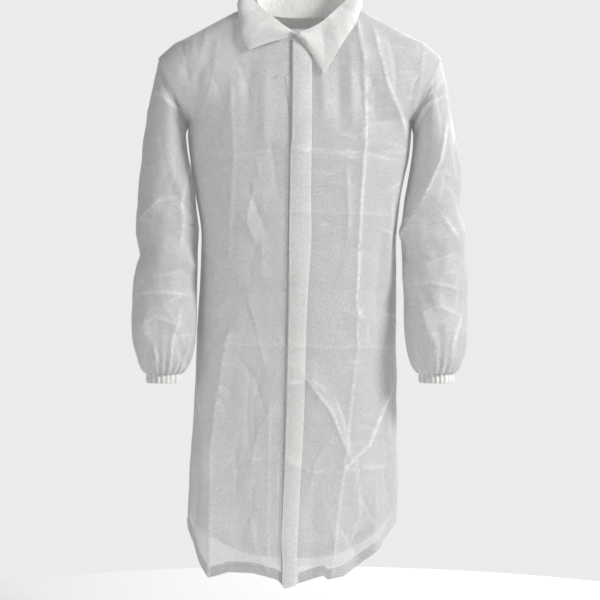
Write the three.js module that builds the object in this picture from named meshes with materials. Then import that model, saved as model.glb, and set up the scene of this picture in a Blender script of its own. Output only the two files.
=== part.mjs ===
// A disposable lab coat of thin nonwoven cloth, hanging as it does on shoulders.
// Millimetres, +Z up. The coat faces -Y and +X is the wearer's left. The origin is
// at the base of the neck, on the centre plane, at the height of the neck point.
import * as THREE from 'three';

// ---- driving dimensions -------------------------------------------------------------
const cloth = 1.8; // thickness that stands for one ply of cloth
const plyGap = 0.5; // clearance between two plies that lie on each other
const seamHalf = 2.0; // half of the slot that a seam bead fills
const seamRadius = 1.3;
const roundness = 2.4; // exponent of the body's section, 2 is an ellipse

const coatLength = 1085; // neck point to hem
const neckHalf = 88; // half-width of the neck hole at the shoulder line
const neckDrop = 7;
const frontNeckDrop = 78;
const backNeckDrop = 21;
const shoulderHalf = 266; // the dropped shoulder's tip
const shoulderDrop = 101;
const armpitHalf = 211;
const armpitDrop = 225;
const waistHalf = 184;
const waistDrop = 450;
const hemHalf = 207;
const chestFront = 128; // depth of the front ahead of the side plane
const chestBack = 112;
const waistFront = 126;
const waistBack = 104;
const hemFront = 138;
const hemBack = 130;
const armholeDepth = 78; // half-depth of the armhole

const placketWidth = 34;
const placketOverlap = 12; // how far the flap passes the centre line at its top
const placketLean = 14; // how far the flap drifts sideways down to the hem
const placketStart = 10; // the neck hole's lowest point to the placket's top
const underlap = 5; // how far the right front passes the centre, under the flap
const underlapCut = 9; // its top corner is cut back, so that it clears the flap when it swings
const underlapCutDrop = 85;
const facingWidth = 24;
const tuck = 2; // the left front ends this far inside the flap's far side
const openingDrop = 152; // the fronts swing below this level
const openingSlit = 5;
const foldTop = 24; // where the fold of an opened front starts, from the centre
const foldHem = 150; // and where it ends at the hem
const foldGap = 0.8;

const sleeveClearance = 6; // sleeve to body
const sleeveHalf = 61; // half-width of the sleeve at the elbow
const sleeveDepth = 72;
const shoulderReach = 42; // how far the sleeve stands out past the shoulder's tip
const elbowDrop = 420;
const sleeveDrop = 712; // neck point to the cuff's edge
const forearmLean = 84; // how far forward the cuff hangs from the elbow
const forearmBend = 0.9; // below 1 the forearm leans forward sooner
const forearmTaper = 2; // the lower sleeve is this much narrower than the upper
const elbowForward = 12;
const cuffHalf = 30;
const cuffDepth = 33;
const cuffHeight = 16;
const elasticHeight = 7;
const elasticThickness = 1.2;
const casingReturn = 3; // the casing's inner ply ends this far below its outer one

const collarLift = 9; // the collar's leaf over the front
const collarRoll = 9; // how far a leaf bulges between its fold and its edge
const rollOut = 0.8; // the bulge's share outward from the neck
const rollUp = 0.5; // and its share upward
const foldBehind = 4; // the collar's fold sits this far ahead of the cloth's own line
const endGap = 1.2; // between a leaf and the fall behind it
const standInset = 4;
const standRise = 6; // the stand's foot over the neck hole's edge
const standReach = 0.94; // share of the way to the fold that the stand rises
const hemTurn = 20;
const hemGap = 1.0; // panel to the turned-up ply
const hemInset = 4; // a turn-up stops this far short of a seam or an edge
const hemLip = 1; // and this far above the fold at its foot
const seamStart = 8; // neck point to the start of a shoulder seam's bead
const seamStop = 3; // and its end to the shoulder's tip
const seamTipRise = 2;
const sideSeamStart = 4; // armpit to the start of a side seam's bead
const tabWidth = 11;
const tabHeight = 30;
const tabThickness = 1.0;
const tabGap = 0.3;
const tabDrops = [112, 300, 490, 690, 890]; // centre of each closure

// ---- how finely the surfaces are cut ---------------------------------------------------
const panelColumns = 11;
const bandColumns = 5;
const placketColumns = 2;
const sleeveColumns = 20;
const upperRows = 8;
const armholeColumns = 24;
const beadSides = 6;
const shoulderSteps = 6;
const sideSteps = 10;
const fallColumns = 20;
const standColumns = 36;

// ---- small helpers ------------------------------------------------------------------
const lerp = THREE.MathUtils.lerp;

function along(table, at) {
  // Straight lines through the table's [at, value] pairs, held flat past both ends.
  const last = table.length - 1;
  if (at <= table[0][0]) return table[0][1];
  for (let i = 1; i <= last; i += 1) {
    if (at <= table[i][0]) {
      const share = (at - table[i - 1][0]) / (table[i][0] - table[i - 1][0]);
      return lerp(table[i - 1][1], table[i][1], share);
    }
  }
  return table[last][1];
}

function smoothAlong(stops, at) {
  // As along(), with an eased change between each two stops.
  for (let i = 1; i < stops.length; i += 1) {
    if (at <= stops[i][0]) {
      const share = THREE.MathUtils.smoothstep(at, stops[i - 1][0], stops[i][0]);
      return lerp(stops[i - 1][1], stops[i][1], share);
    }
  }
  return stops[stops.length - 1][1];
}

function steps(from, to, count) {
  return Array.from({ length: count }, (_, i) => lerp(from, to, i / count));
}

function material(name, color, roughness) {
  return new THREE.MeshStandardMaterial({ name, color, roughness, metalness: 0 });
}

// ---- the body's surface --------------------------------------------------------------
// Drops are measured down from the neck point. The shoulder line runs through these.
const shoulderLine = [
  [neckDrop, neckHalf],
  [lerp(neckDrop, shoulderDrop, 0.09), lerp(neckHalf, shoulderHalf, 0.2)],
  [lerp(neckDrop, shoulderDrop, 0.34), lerp(neckHalf, shoulderHalf, 0.44)],
  [lerp(neckDrop, shoulderDrop, 0.57), lerp(neckHalf, shoulderHalf, 0.66)],
  [lerp(neckDrop, shoulderDrop, 0.75), lerp(neckHalf, shoulderHalf, 0.85)],
  [shoulderDrop, shoulderHalf],
];
const shoulderLineBack = shoulderLine.map(([drop, half]) => [half, drop]);
const sideLine = [[armpitDrop, armpitHalf], [waistDrop, waistHalf], [coatLength, hemHalf]];
const frontStops = [[armpitDrop, chestFront], [waistDrop, waistFront], [coatLength, hemFront]];
const backStops = [[armpitDrop, chestBack], [waistDrop, waistBack], [coatLength, hemBack]];
// The depth grows quickly from the neck point over the slope of the shoulders.
const slope = [[0, 0.12], [0.16, 0.36], [0.36, 0.56], [0.73, 0.74], [1, 0.83]];

function depthAt(drop, stops) {
  const chest = stops[0][1];
  if (drop >= armpitDrop) return smoothAlong(stops, drop);
  if (drop <= shoulderDrop) return chest * along(slope, drop / shoulderDrop);
  const share = (drop - shoulderDrop) / (armpitDrop - shoulderDrop);
  return chest * lerp(slope[slope.length - 1][1], 1, share);
}

function armholeShare(drop) {
  return (drop - shoulderDrop) / (armpitDrop - shoulderDrop);
}

function panelEdge(drop) {
  // Where a panel ends sideways: shoulder tip, armhole, then the side seam.
  if (drop <= shoulderDrop) return shoulderHalf;
  if (drop < armpitDrop) return lerp(shoulderHalf, armpitHalf, armholeShare(drop));
  return smoothAlong(sideLine, drop);
}

function bodyHalf(drop, depth) {
  // Half-width of the section that a panel lies on, so that its edge is the armhole's.
  if (drop <= shoulderDrop) return along(shoulderLine, drop);
  if (drop >= armpitDrop) return smoothAlong(sideLine, drop);
  const round = Math.sqrt(Math.max(0, 1 - (2 * armholeShare(drop) - 1) ** 2));
  const inside = 1 - ((armholeDepth * round) / depth) ** roundness;
  return panelEdge(drop) / inside ** (1 / roundness);
}

function bodyPoint(x, drop, face) {
  // A point on the cloth. Face is -1 on the front and 1 on the back.
  const depth = depthAt(drop, face < 0 ? frontStops : backStops);
  const share = Math.min(1, Math.abs(x) / bodyHalf(drop, depth));
  const reach = depth * (1 - share ** roundness) ** (1 / roundness);
  return new THREE.Vector3(x, face * (seamHalf + reach), -drop);
}

function neckEdge(x, face) {
  const drop = face < 0 ? frontNeckDrop : backNeckDrop;
  const share = Math.min(1, Math.abs(x) / neckHalf);
  return neckDrop + (drop - neckDrop) * Math.sqrt(1 - share * share);
}

function topEdge(x, face) {
  // The drop at which the cloth starts above a point: neck hole, then shoulder line.
  if (Math.abs(x) < neckHalf) return neckEdge(x, face);
  return along(shoulderLineBack, Math.abs(x));
}

function centreLine(drop) {
  // The middle of the front drifts sideways towards the hem.
  const share = (drop - frontNeckDrop) / (coatLength - frontNeckDrop);
  return -placketLean * THREE.MathUtils.clamp(share, 0, 1);
}

function underlapAt(drop) {
  // How far the right front passes the centre line.
  if (drop <= openingDrop) return underlap;
  const cut = 1 - Math.min(1, (drop - openingDrop) / underlapCutDrop);
  return underlap - underlapCut * cut;
}

const lowerLevels = [
  ...steps(shoulderDrop, openingDrop, 2),
  openingDrop,
  ...steps(openingDrop + openingSlit, armpitDrop, 2),
  ...steps(armpitDrop, waistDrop, 4),
  ...steps(waistDrop, coatLength - hemTurn, 5),
  coatLength - hemTurn,
  coatLength,
];

// ---- closed solids from grids of points ------------------------------------------------
function meshFrom(points, triangles, name, look) {
  let volume = 0;
  for (const [a, b, c] of triangles) {
    volume += points[a].dot(new THREE.Vector3().crossVectors(points[b], points[c]));
  }
  const faces = volume > 0 ? triangles : triangles.map(([a, b, c]) => [a, c, b]);
  const geometry = new THREE.BufferGeometry().setFromPoints(points);
  geometry.setIndex(faces.flat());
  geometry.computeVertexNormals();
  const mesh = new THREE.Mesh(geometry, look);
  mesh.name = name;
  return mesh;
}

function sheetNormals(grid, round) {
  // The direction square to a grid of points, at each point.
  const rows = grid.length;
  const columns = grid[0].length;
  return grid.map((row, i) => row.map((_, j) => {
    const above = grid[Math.max(0, i - 1)][j];
    const below = grid[Math.min(rows - 1, i + 1)][j];
    const before = round ? row[(j + columns - 1) % columns] : row[Math.max(0, j - 1)];
    const after = round ? row[(j + 1) % columns] : row[Math.min(columns - 1, j + 1)];
    const down = new THREE.Vector3().subVectors(below, above);
    const across = new THREE.Vector3().subVectors(after, before);
    return new THREE.Vector3().crossVectors(down, across).normalize();
  }));
}

function offsetGrid(grid, normals, distance) {
  return grid.map((row, i) => row.map((point, j) => (
    point.clone().addScaledVector(normals[i][j], distance)
  )));
}

function sheetBetween(name, look, outer, inner, round = false) {
  // A ply of cloth: two grids joined all round their edges.
  const rows = outer.length;
  const columns = outer[0].length;
  const points = [...outer.flat(), ...inner.flat()];
  const triangles = [];
  const out = (i, j) => i * columns + (j % columns);
  const back = (i, j) => rows * columns + out(i, j);
  const quad = (a, b, c, d) => triangles.push([a, b, c], [a, c, d]);
  const last = round ? columns : columns - 1;
  for (let j = 0; j < last; j += 1) {
    for (let i = 0; i < rows - 1; i += 1) {
      quad(out(i, j), out(i + 1, j), out(i + 1, j + 1), out(i, j + 1));
      quad(back(i, j), back(i, j + 1), back(i + 1, j + 1), back(i + 1, j));
    }
    quad(out(0, j), out(0, j + 1), back(0, j + 1), back(0, j));
    quad(out(rows - 1, j), back(rows - 1, j), back(rows - 1, j + 1), out(rows - 1, j + 1));
  }
  if (!round) {
    for (let i = 0; i < rows - 1; i += 1) {
      quad(out(i, 0), back(i, 0), back(i + 1, 0), out(i + 1, 0));
      quad(out(i, last), out(i + 1, last), back(i + 1, last), back(i, last));
    }
  }
  return meshFrom(points, triangles, name, look);
}

function sweptLoop(name, look, loops) {
  // A closed section carried once round: loops is one closed ring for each of its points.
  const count = loops.length;
  const size = loops[0].length;
  const at = (i, j) => (i % count) * size + (j % size);
  const triangles = [];
  for (let i = 0; i < count; i += 1) {
    for (let j = 0; j < size; j += 1) {
      triangles.push([at(i, j), at(i + 1, j), at(i + 1, j + 1)]);
      triangles.push([at(i, j), at(i + 1, j + 1), at(i, j + 1)]);
    }
  }
  return meshFrom(loops.flat(), triangles, name, look);
}

function bead(name, look, points, segments) {
  // An overlocked seam: a cord of thread and cloth edges along a line.
  const section = new THREE.Shape().absarc(0, 0, seamRadius, 0, Math.PI * 2);
  const geometry = new THREE.ExtrudeGeometry(section, {
    extrudePath: new THREE.CatmullRomCurve3(points),
    steps: segments,
    curveSegments: 3,
    bevelEnabled: false,
  });
  const mesh = new THREE.Mesh(geometry, look);
  mesh.name = name;
  return mesh;
}

// ---- patches that lie on the body -------------------------------------------------------
const shoulderRows = 5; // rows between a column's top and the shoulder tip's level
const topBias = 1.8; // gathers those rows at the rounded shoulder line

function columnDrops(top) {
  const rows = Array.from({ length: shoulderRows }, (_, i) => (
    lerp(top, shoulderDrop, (i / shoulderRows) ** topBias)
  ));
  return [...rows, ...lowerLevels];
}

function easedColumns(count) {
  return Array.from({ length: count + 1 }, (_, j) => Math.sin((Math.PI / 2) * (j / count)));
}

function clothPatch(name, look, grid, near, far) {
  // Near and far are the two faces' distances outward from the body's surface.
  const normals = sheetNormals(grid, false);
  const middle = grid[Math.floor(grid.length / 2)][Math.floor(grid[0].length / 2)];
  const normal = normals[Math.floor(grid.length / 2)][Math.floor(grid[0].length / 2)];
  const sign = Math.sign(normal.x * middle.x + normal.y * middle.y);
  return sheetBetween(
    name,
    look,
    offsetGrid(grid, normals, sign * far),
    offsetGrid(grid, normals, sign * near),
  );
}

function bandOnFront(name, look, levels, startAt, endAt, near, far, columns = 1) {
  // A strip down the front between two lines, at some height over the cloth.
  const grid = levels.map((drop) => (
    Array.from({ length: columns + 1 }, (_, j) => (
      bodyPoint(lerp(startAt(drop), endAt(drop), j / columns), drop, -1)
    ))
  ));
  return clothPatch(name, look, grid, near, far);
}

function levelsBetween(from, to) {
  const inside = lowerLevels.filter((drop) => drop > from + 1 && drop < to - 1);
  return [from, ...inside, to];
}

const swingTop = openingDrop + openingSlit + foldGap;
const swingLevels = levelsBetween(swingTop, coatLength);
const hemLevels = [coatLength - hemTurn, coatLength - hemLip];

// ---- materials ----------------------------------------------------------------------------
const nonwoven = material('nonwoven', 0xe2e1dc, 0.85);
const doubled = material('doubled nonwoven', 0xeae8e2, 0.85);
const thread = material('overlock thread', 0xefeee9, 0.8);
const elastic = material('elastic', 0xe6e2d8, 0.7);
const tape = material('hook and loop tape', 0xf0efec, 0.9);

const coat = new THREE.Group();
coat.name = 'lab_coat';
const add = (...meshes) => coat.add(...meshes);

// ---- back panel ------------------------------------------------------------------------------
const half = easedColumns(panelColumns);
const across = [...half.slice(1).reverse().map((u) => -u), ...half];

function wideGrid(face, columns, innerEdge, side) {
  // Columns run from the neck or shoulder line to the hem, spread to the panel's edge.
  return Array.from({ length: shoulderRows + lowerLevels.length }, (_, i) => (
    columns.map((u) => {
      const start = innerEdge(0);
      const x = side * lerp(start, shoulderHalf, u);
      const drop = columnDrops(topEdge(x, face))[i];
      const from = innerEdge(drop);
      const reach = lerp(from, panelEdge(drop), u);
      return bodyPoint(side * reach, drop, face);
    })
  ));
}

const backGrid = wideGrid(1, across, () => 0, 1);
add(clothPatch('back_panel', nonwoven, backGrid, -cloth, 0));

// ---- fronts ----------------------------------------------------------------------------------
// Each front is one sheet. The part near its edge swings when the coat is opened, on a
// slanted fold from under the collar to the hem; the rest hangs from shoulder and side.
function foldLine(drop) {
  const share = (drop - openingDrop) / (coatLength - openingDrop);
  return lerp(foldTop, foldHem, THREE.MathUtils.clamp(share, 0, 1));
}

function frontEdge(side) {
  // Where a front ends at the middle, measured towards its own side.
  if (side < 0) return (drop) => -underlapAt(drop) - centreLine(drop);
  return (drop) => placketWidth - placketOverlap - tuck + centreLine(drop);
}

function addFront(side, name) {
  const edge = frontEdge(side);
  const fixedEdge = (drop) => (drop <= openingDrop ? edge(drop) : foldLine(drop) + foldGap);
  const grid = wideGrid(-1, half, fixedEdge, side);
  add(clothPatch(`${name}_front_side_panel`, nonwoven, grid, -cloth, 0));
  add(bandOnFront(
    `${name}_front_edge_panel`,
    nonwoven,
    swingLevels,
    (drop) => side * edge(drop),
    (drop) => side * foldLine(drop),
    -cloth,
    0,
    bandColumns,
  ));
  const inside = -cloth - hemGap;
  add(bandOnFront(
    `${name}_front_edge_hem`,
    doubled,
    hemLevels,
    (drop) => side * (edge(drop) + (side > 0 ? 0 : facingWidth) + hemInset),
    (drop) => side * (foldLine(drop) - hemInset),
    inside - cloth,
    inside,
    bandColumns,
  ));
  add(bandOnFront(
    `${name}_front_side_hem`,
    doubled,
    hemLevels,
    (drop) => side * (foldLine(drop) + foldGap + hemInset),
    (drop) => side * (panelEdge(drop) - 2 * hemInset),
    inside - cloth,
    inside,
    bandColumns,
  ));
}

addFront(1, 'left');
addFront(-1, 'right');

// ---- plackets and their hidden closures --------------------------------------------------------
const tabStack = tabGap * 3 + tabThickness * 2; // two tabs and their clearances
const flapStart = (drop) => centreLine(drop) - placketOverlap;
const flapEnd = (drop) => flapStart(drop) + placketWidth;
const topLevels = levelsBetween(frontNeckDrop + placketStart, openingDrop);
const flapParts = [['left_placket_top', topLevels], ['left_placket_flap', swingLevels]];
for (const [name, levels] of flapParts) {
  const face = tabStack + cloth;
  add(bandOnFront(name, doubled, levels, flapStart, flapEnd, tabStack, face, placketColumns));
}
const facingEnd = (drop) => centreLine(drop) + underlapAt(drop);
const facingStart = (drop) => facingEnd(drop) - facingWidth;
const facingParts = [['right_placket_top', topLevels], ['right_placket_facing', swingLevels]];
for (const [name, levels] of facingParts) {
  const face = -cloth - plyGap;
  const back = face - cloth;
  add(bandOnFront(name, doubled, levels, facingStart, facingEnd, back, face, placketColumns));
}

tabDrops.forEach((drop, index) => {
  const levels = levelsBetween(drop - tabHeight / 2, drop + tabHeight / 2);
  const start = (at) => centreLine(at) - tabWidth;
  const end = (at) => centreLine(at);
  const nearFaces = { hook: tabGap, loop: tabGap * 2 + tabThickness };
  for (const [kind, near] of Object.entries(nearFaces)) {
    const name = `${kind}_tab_${index + 1}`;
    add(bandOnFront(name, tape, levels, start, end, near, near + tabThickness));
  }
});

// ---- back hem ------------------------------------------------------------------------------------
const backHemGrid = hemLevels.map((drop) => (
  across.map((u) => bodyPoint(u * (panelEdge(drop) - 2 * hemInset), drop, 1))
));
add(clothPatch('back_hem', doubled, backHemGrid, -2 * cloth - hemGap, -cloth - hemGap));

// ---- seams -----------------------------------------------------------------------------------------
const midPly = cloth / 2;
const armholeTop = new THREE.Vector3(shoulderHalf, 0, -shoulderDrop);
const armholeFoot = new THREE.Vector3(armpitHalf, 0, -armpitDrop);
const armholeLine = new THREE.Vector3().subVectors(armholeFoot, armholeTop);
const armholeOut = new THREE.Vector3(-armholeLine.z, 0, armholeLine.x).normalize();
const sleeveSeat = 2 * seamHalf; // panel to sleeve across the armhole seam

function mirrored(points, side) {
  return points.map((p) => new THREE.Vector3(side * p.x, p.y, p.z));
}

function ringPoints(inner, outer, depth, centreY, count, trim) {
  // One rounded section of a sleeve, between its inner and outer line.
  const middle = new THREE.Vector3().addVectors(inner, outer).multiplyScalar(0.5);
  const arm = new THREE.Vector3().subVectors(outer, inner).multiplyScalar(0.5);
  const reach = arm.clone().setLength(arm.length() - trim);
  return Array.from({ length: count }, (_, j) => {
    const turn = (2 * Math.PI * j) / count;
    const point = middle.clone().addScaledVector(reach, Math.cos(turn));
    point.y += centreY + Math.sin(turn) * (depth - trim);
    return point;
  });
}

function addSeams(side, name) {
  const tip = shoulderHalf - seamStop;
  const shoulder = steps(neckHalf + seamStart, tip, shoulderSteps).map((x) => (
    new THREE.Vector3(x, 0, -along(shoulderLineBack, x) - midPly)
  ));
  shoulder.push(new THREE.Vector3(tip, 0, -shoulderDrop + seamTipRise));
  add(bead(`${name}_shoulder_seam`, thread, mirrored(shoulder, side), shoulderSteps * 2));
  const foot = coatLength - hemLip;
  const sideDrops = [...steps(armpitDrop + sideSeamStart, foot, sideSteps), foot];
  const sidePoints = sideDrops.map((drop) => (
    new THREE.Vector3(panelEdge(drop) - midPly, 0, -drop)
  ));
  add(bead(`${name}_side_seam`, thread, mirrored(sidePoints, side), sideSteps * 2 + 4));
  // The armhole's bead is a ring halfway between the panels and the sleeve.
  const rings = Array.from({ length: beadSides }, (_, k) => {
    const turn = (2 * Math.PI * k) / beadSides;
    const trim = midPly - seamRadius * Math.cos(turn);
    const shift = sleeveSeat / 2 + seamRadius * Math.sin(turn);
    const inner = armholeFoot.clone().addScaledVector(armholeOut, shift);
    const outer = armholeTop.clone().addScaledVector(armholeOut, shift);
    return mirrored(ringPoints(inner, outer, armholeDepth, 0, armholeColumns, trim), side);
  });
  add(sweptLoop(`${name}_armhole_seam`, thread, rings));
}

addSeams(1, 'left');
addSeams(-1, 'right');

// ---- sleeves ------------------------------------------------------------------------------------------
const sleeveCentre = waistHalf + sleeveClearance + sleeveHalf;

function upperRing(share, trim) {
  // Rings turn from the slanted armhole to level at the elbow.
  const inDrop = lerp(armpitDrop, elbowDrop, share);
  const outDrop = lerp(shoulderDrop, elbowDrop, share);
  const seat = sleeveSeat * (1 - share);
  const inner = new THREE.Vector3(panelEdge(inDrop) + sleeveClearance, 0, -inDrop);
  const bulge = shoulderReach * Math.sin((Math.PI / 2) * share);
  const outer = new THREE.Vector3(shoulderHalf + bulge, 0, -outDrop);
  if (share === 0) inner.x = armpitHalf;
  inner.addScaledVector(armholeOut, seat);
  outer.addScaledVector(armholeOut, seat);
  const depth = lerp(armholeDepth, sleeveDepth, share);
  return ringPoints(inner, outer, depth, -elbowForward * share * share, sleeveColumns, trim);
}

const wristDrop = sleeveDrop - cuffHeight;
// Half-width and half-depth of the lower sleeve, from the elbow to the gathered wrist.
const lowerShape = [[0, 1], [0.5, 1], [0.78, 0.9], [0.92, 0.7], [1, 0]];

function lowerRing(share, trim) {
  const drop = lerp(elbowDrop + foldGap, wristDrop, share);
  const round = smoothAlong(lowerShape, share);
  const halfWidth = lerp(cuffHalf, sleeveHalf - forearmTaper, round);
  const depth = lerp(cuffDepth, sleeveDepth, round);
  const inner = new THREE.Vector3(sleeveCentre - halfWidth, 0, -drop);
  const outer = new THREE.Vector3(sleeveCentre + halfWidth, 0, -drop);
  return ringPoints(inner, outer, depth, forearmY(drop), sleeveColumns, trim);
}

function forearmY(drop) {
  const share = (drop - elbowDrop) / (sleeveDrop - elbowDrop);
  return -elbowForward - forearmLean * share ** forearmBend;
}

function tube(name, look, ringAt, shares, side) {
  const outer = shares.map((share) => mirrored(ringAt(share, 0), side));
  const inner = shares.map((share) => mirrored(ringAt(share, cloth), side));
  return sheetBetween(name, look, outer, inner, true);
}

function cuffRing(drop, trim) {
  const inner = new THREE.Vector3(sleeveCentre - cuffHalf, 0, -drop);
  const outer = new THREE.Vector3(sleeveCentre + cuffHalf, 0, -drop);
  return ringPoints(inner, outer, cuffDepth, forearmY(drop), sleeveColumns, trim);
}

function addSleeve(side, name) {
  const upperShares = Array.from({ length: upperRows + 1 }, (_, i) => i / upperRows);
  add(tube(`${name}_upper_sleeve`, nonwoven, upperRing, upperShares, side));
  const lowerShares = [0, 0.18, 0.36, 0.52, 0.66, 0.78, 0.86, 0.93, 1];
  add(tube(`${name}_lower_sleeve`, nonwoven, lowerRing, lowerShares, side));
  // The cuff's casing is folded up inside itself round the elastic.
  const top = wristDrop + plyGap;
  const foot = sleeveDrop;
  const pocket = elasticThickness + 2 * tabGap;
  const inside = cloth + pocket;
  const section = [
    [top, 0], [foot, 0], [foot, inside + cloth], [top + casingReturn, inside + cloth],
    [top + casingReturn, inside], [foot - cloth, inside], [foot - cloth, cloth], [top, cloth],
  ];
  add(sweptLoop(
    `${name}_cuff_casing`,
    doubled,
    section.map(([drop, trim]) => mirrored(cuffRing(drop, trim), side)),
  ));
  const bandTop = foot - cloth - tabGap * 2 - elasticHeight;
  const bandFoot = foot - cloth - tabGap * 2;
  const bandSection = [
    [bandTop, cloth + tabGap],
    [bandFoot, cloth + tabGap],
    [bandFoot, cloth + tabGap + elasticThickness],
    [bandTop, cloth + tabGap + elasticThickness],
  ];
  add(sweptLoop(
    `${name}_cuff_elastic`,
    elastic,
    bandSection.map(([drop, trim]) => mirrored(cuffRing(drop, trim), side)),
  ));
}

addSleeve(1, 'left');
addSleeve(-1, 'right');

// ---- collar ----------------------------------------------------------------------------------------------
// Each row pairs a point on the fold with one on the leaf's outer edge, as [x, drop].
// The pairs run from the centre front to the shoulder, measured towards the leaf's side.
const leftLeaf = [
  [[-5, 73], [5, 86]],
  [[18, 63], [25, 116]],
  [[42, 47], [44, 148]],
  [[60, 28], [78, 88]],
  [[73, 13], [99, 56]],
];
const rightLeaf = [
  [[11, 71], [24, 78]],
  [[30, 56], [62, 90]],
  [[46, 41], [93, 103]],
  [[60, 28], [103, 82]],
  [[73, 13], [107, 58]],
];
// The rest of the fold and of the outer edge, round the side to the centre back.
const fallFold = [[87, -14, 8], [80, 24, 28], [47, 52, 42], [0, 60, 46]];
const fallEdge = [[116, -12, -1], [106, 44, -12], [62, 84, -26], [0, 94, -30]];

function foldPoint([x, drop]) {
  const point = bodyPoint(x, Math.max(drop, neckDrop + 1), -1);
  point.z = -drop;
  point.y -= foldBehind;
  return point;
}

function edgePoint([x, drop]) {
  const point = bodyPoint(x, drop, -1);
  point.y -= collarLift;
  return point;
}

function leafRows(fold, edge) {
  // Rows down a leaf, bowed outward from the neck between fold and edge.
  return [0, 0.22, 0.5, 0.78, 1].map((share) => fold.map((top, j) => {
    const point = top.clone().lerp(edge[j], share);
    const out = new THREE.Vector3(edge[j].x, edge[j].y, 0).normalize();
    const rise = out.multiplyScalar(rollOut).add(new THREE.Vector3(0, 0, rollUp));
    return point.addScaledVector(rise, collarRoll * 4 * share * (1 - share));
  }));
}

function spread(points, count) {
  const curve = new THREE.CatmullRomCurve3(points, false, 'centripetal');
  return curve.getPoints(count);
}

function addPlies(name, grid) {
  const normals = sheetNormals(grid, false);
  const row = Math.floor(grid.length / 2);
  const column = Math.floor(grid[0].length / 2);
  const sign = Math.sign(normals[row][column].dot(grid[row][column]));
  const ply = (from, to) => [
    offsetGrid(grid, normals, sign * to),
    offsetGrid(grid, normals, sign * from),
  ];
  add(sheetBetween(`${name}_under_ply`, doubled, ...ply(0, cloth)));
  add(sheetBetween(`${name}_top_ply`, doubled, ...ply(cloth + plyGap, 2 * cloth + plyGap)));
}

function leafPoints(leaf, side) {
  return {
    fold: mirrored(leaf.map(([fold]) => foldPoint(fold)), side),
    edge: mirrored(leaf.map(([, edge]) => edgePoint(edge)), side),
  };
}

const leaves = { left: leafPoints(leftLeaf, 1), right: leafPoints(rightLeaf, -1) };
for (const [name, { fold, edge }] of Object.entries(leaves)) {
  addPlies(`${name}_collar_leaf`, leafRows(fold, edge));
}

function fallLine(key, corners) {
  // From the wearer's left leaf round the back to the right one.
  const leftEnd = leaves.left[key][leftLeaf.length - 1].clone();
  const rightEnd = leaves.right[key][rightLeaf.length - 1].clone();
  leftEnd.y += endGap;
  leftEnd.x += endGap;
  rightEnd.y += endGap;
  rightEnd.x -= endGap;
  const left = corners.map(([x, y, z]) => new THREE.Vector3(x, y, z));
  const right = mirrored(left.slice(0, -1).reverse(), -1);
  return spread([leftEnd, ...left, ...right, rightEnd], fallColumns);
}

addPlies('collar_fall', leafRows(fallLine('fold', fallFold), fallLine('edge', fallEdge)));

// The stand rises inside the neck hole from the cloth's edge to the fold.
function neckPoint(x, face) {
  const point = bodyPoint(x, neckEdge(x, face), face);
  point.z += standRise;
  return point;
}

const standFoot = [
  ...[3, 30, 56, 75].map((x) => neckPoint(x, -1)),
  new THREE.Vector3(neckHalf - 1, 0, -neckDrop + 2),
  ...[74, 44, 0].map((x) => neckPoint(x, 1)),
];
const standHead = [
  ...[[4, 74], [22, 63], [42, 49], [60, 30]].map(foldPoint),
  new THREE.Vector3(86, -14, 6),
  new THREE.Vector3(78, 22, 24),
  new THREE.Vector3(46, 48, 38),
  new THREE.Vector3(0, 56, 42),
];

function standLine(points, inset) {
  const inward = points.map((p) => {
    const length = Math.hypot(p.x, p.y);
    const share = (length - inset) / length;
    return new THREE.Vector3(p.x * share, p.y * share, p.z);
  });
  return spread([...inward, ...mirrored(inward.slice(0, -1).reverse(), -1)], standColumns);
}

const standBase = standLine(standFoot, standInset + cloth);
const standTop = standLine(standHead, standInset + cloth);
const standGrid = [0, 0.5, 1].map((share) => (
  standBase.map((point, j) => point.clone().lerp(standTop[j], share * standReach))
));
add(clothPatch('collar_stand', doubled, standGrid, -cloth, 0));

export default coat;
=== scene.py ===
"""A disposable lab coat of thin nonwoven cloth, hanging as it does on shoulders.

Metres, +Z up. The coat faces -Y and +X is the wearer's left. Every cloth piece is a
thin closed ply that follows one drape: a smooth body surface with the folds, pressed
creases and crumples of the cloth laid on it.
"""

import logging
import math
from dataclasses import dataclass, field
from enum import Enum

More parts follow.
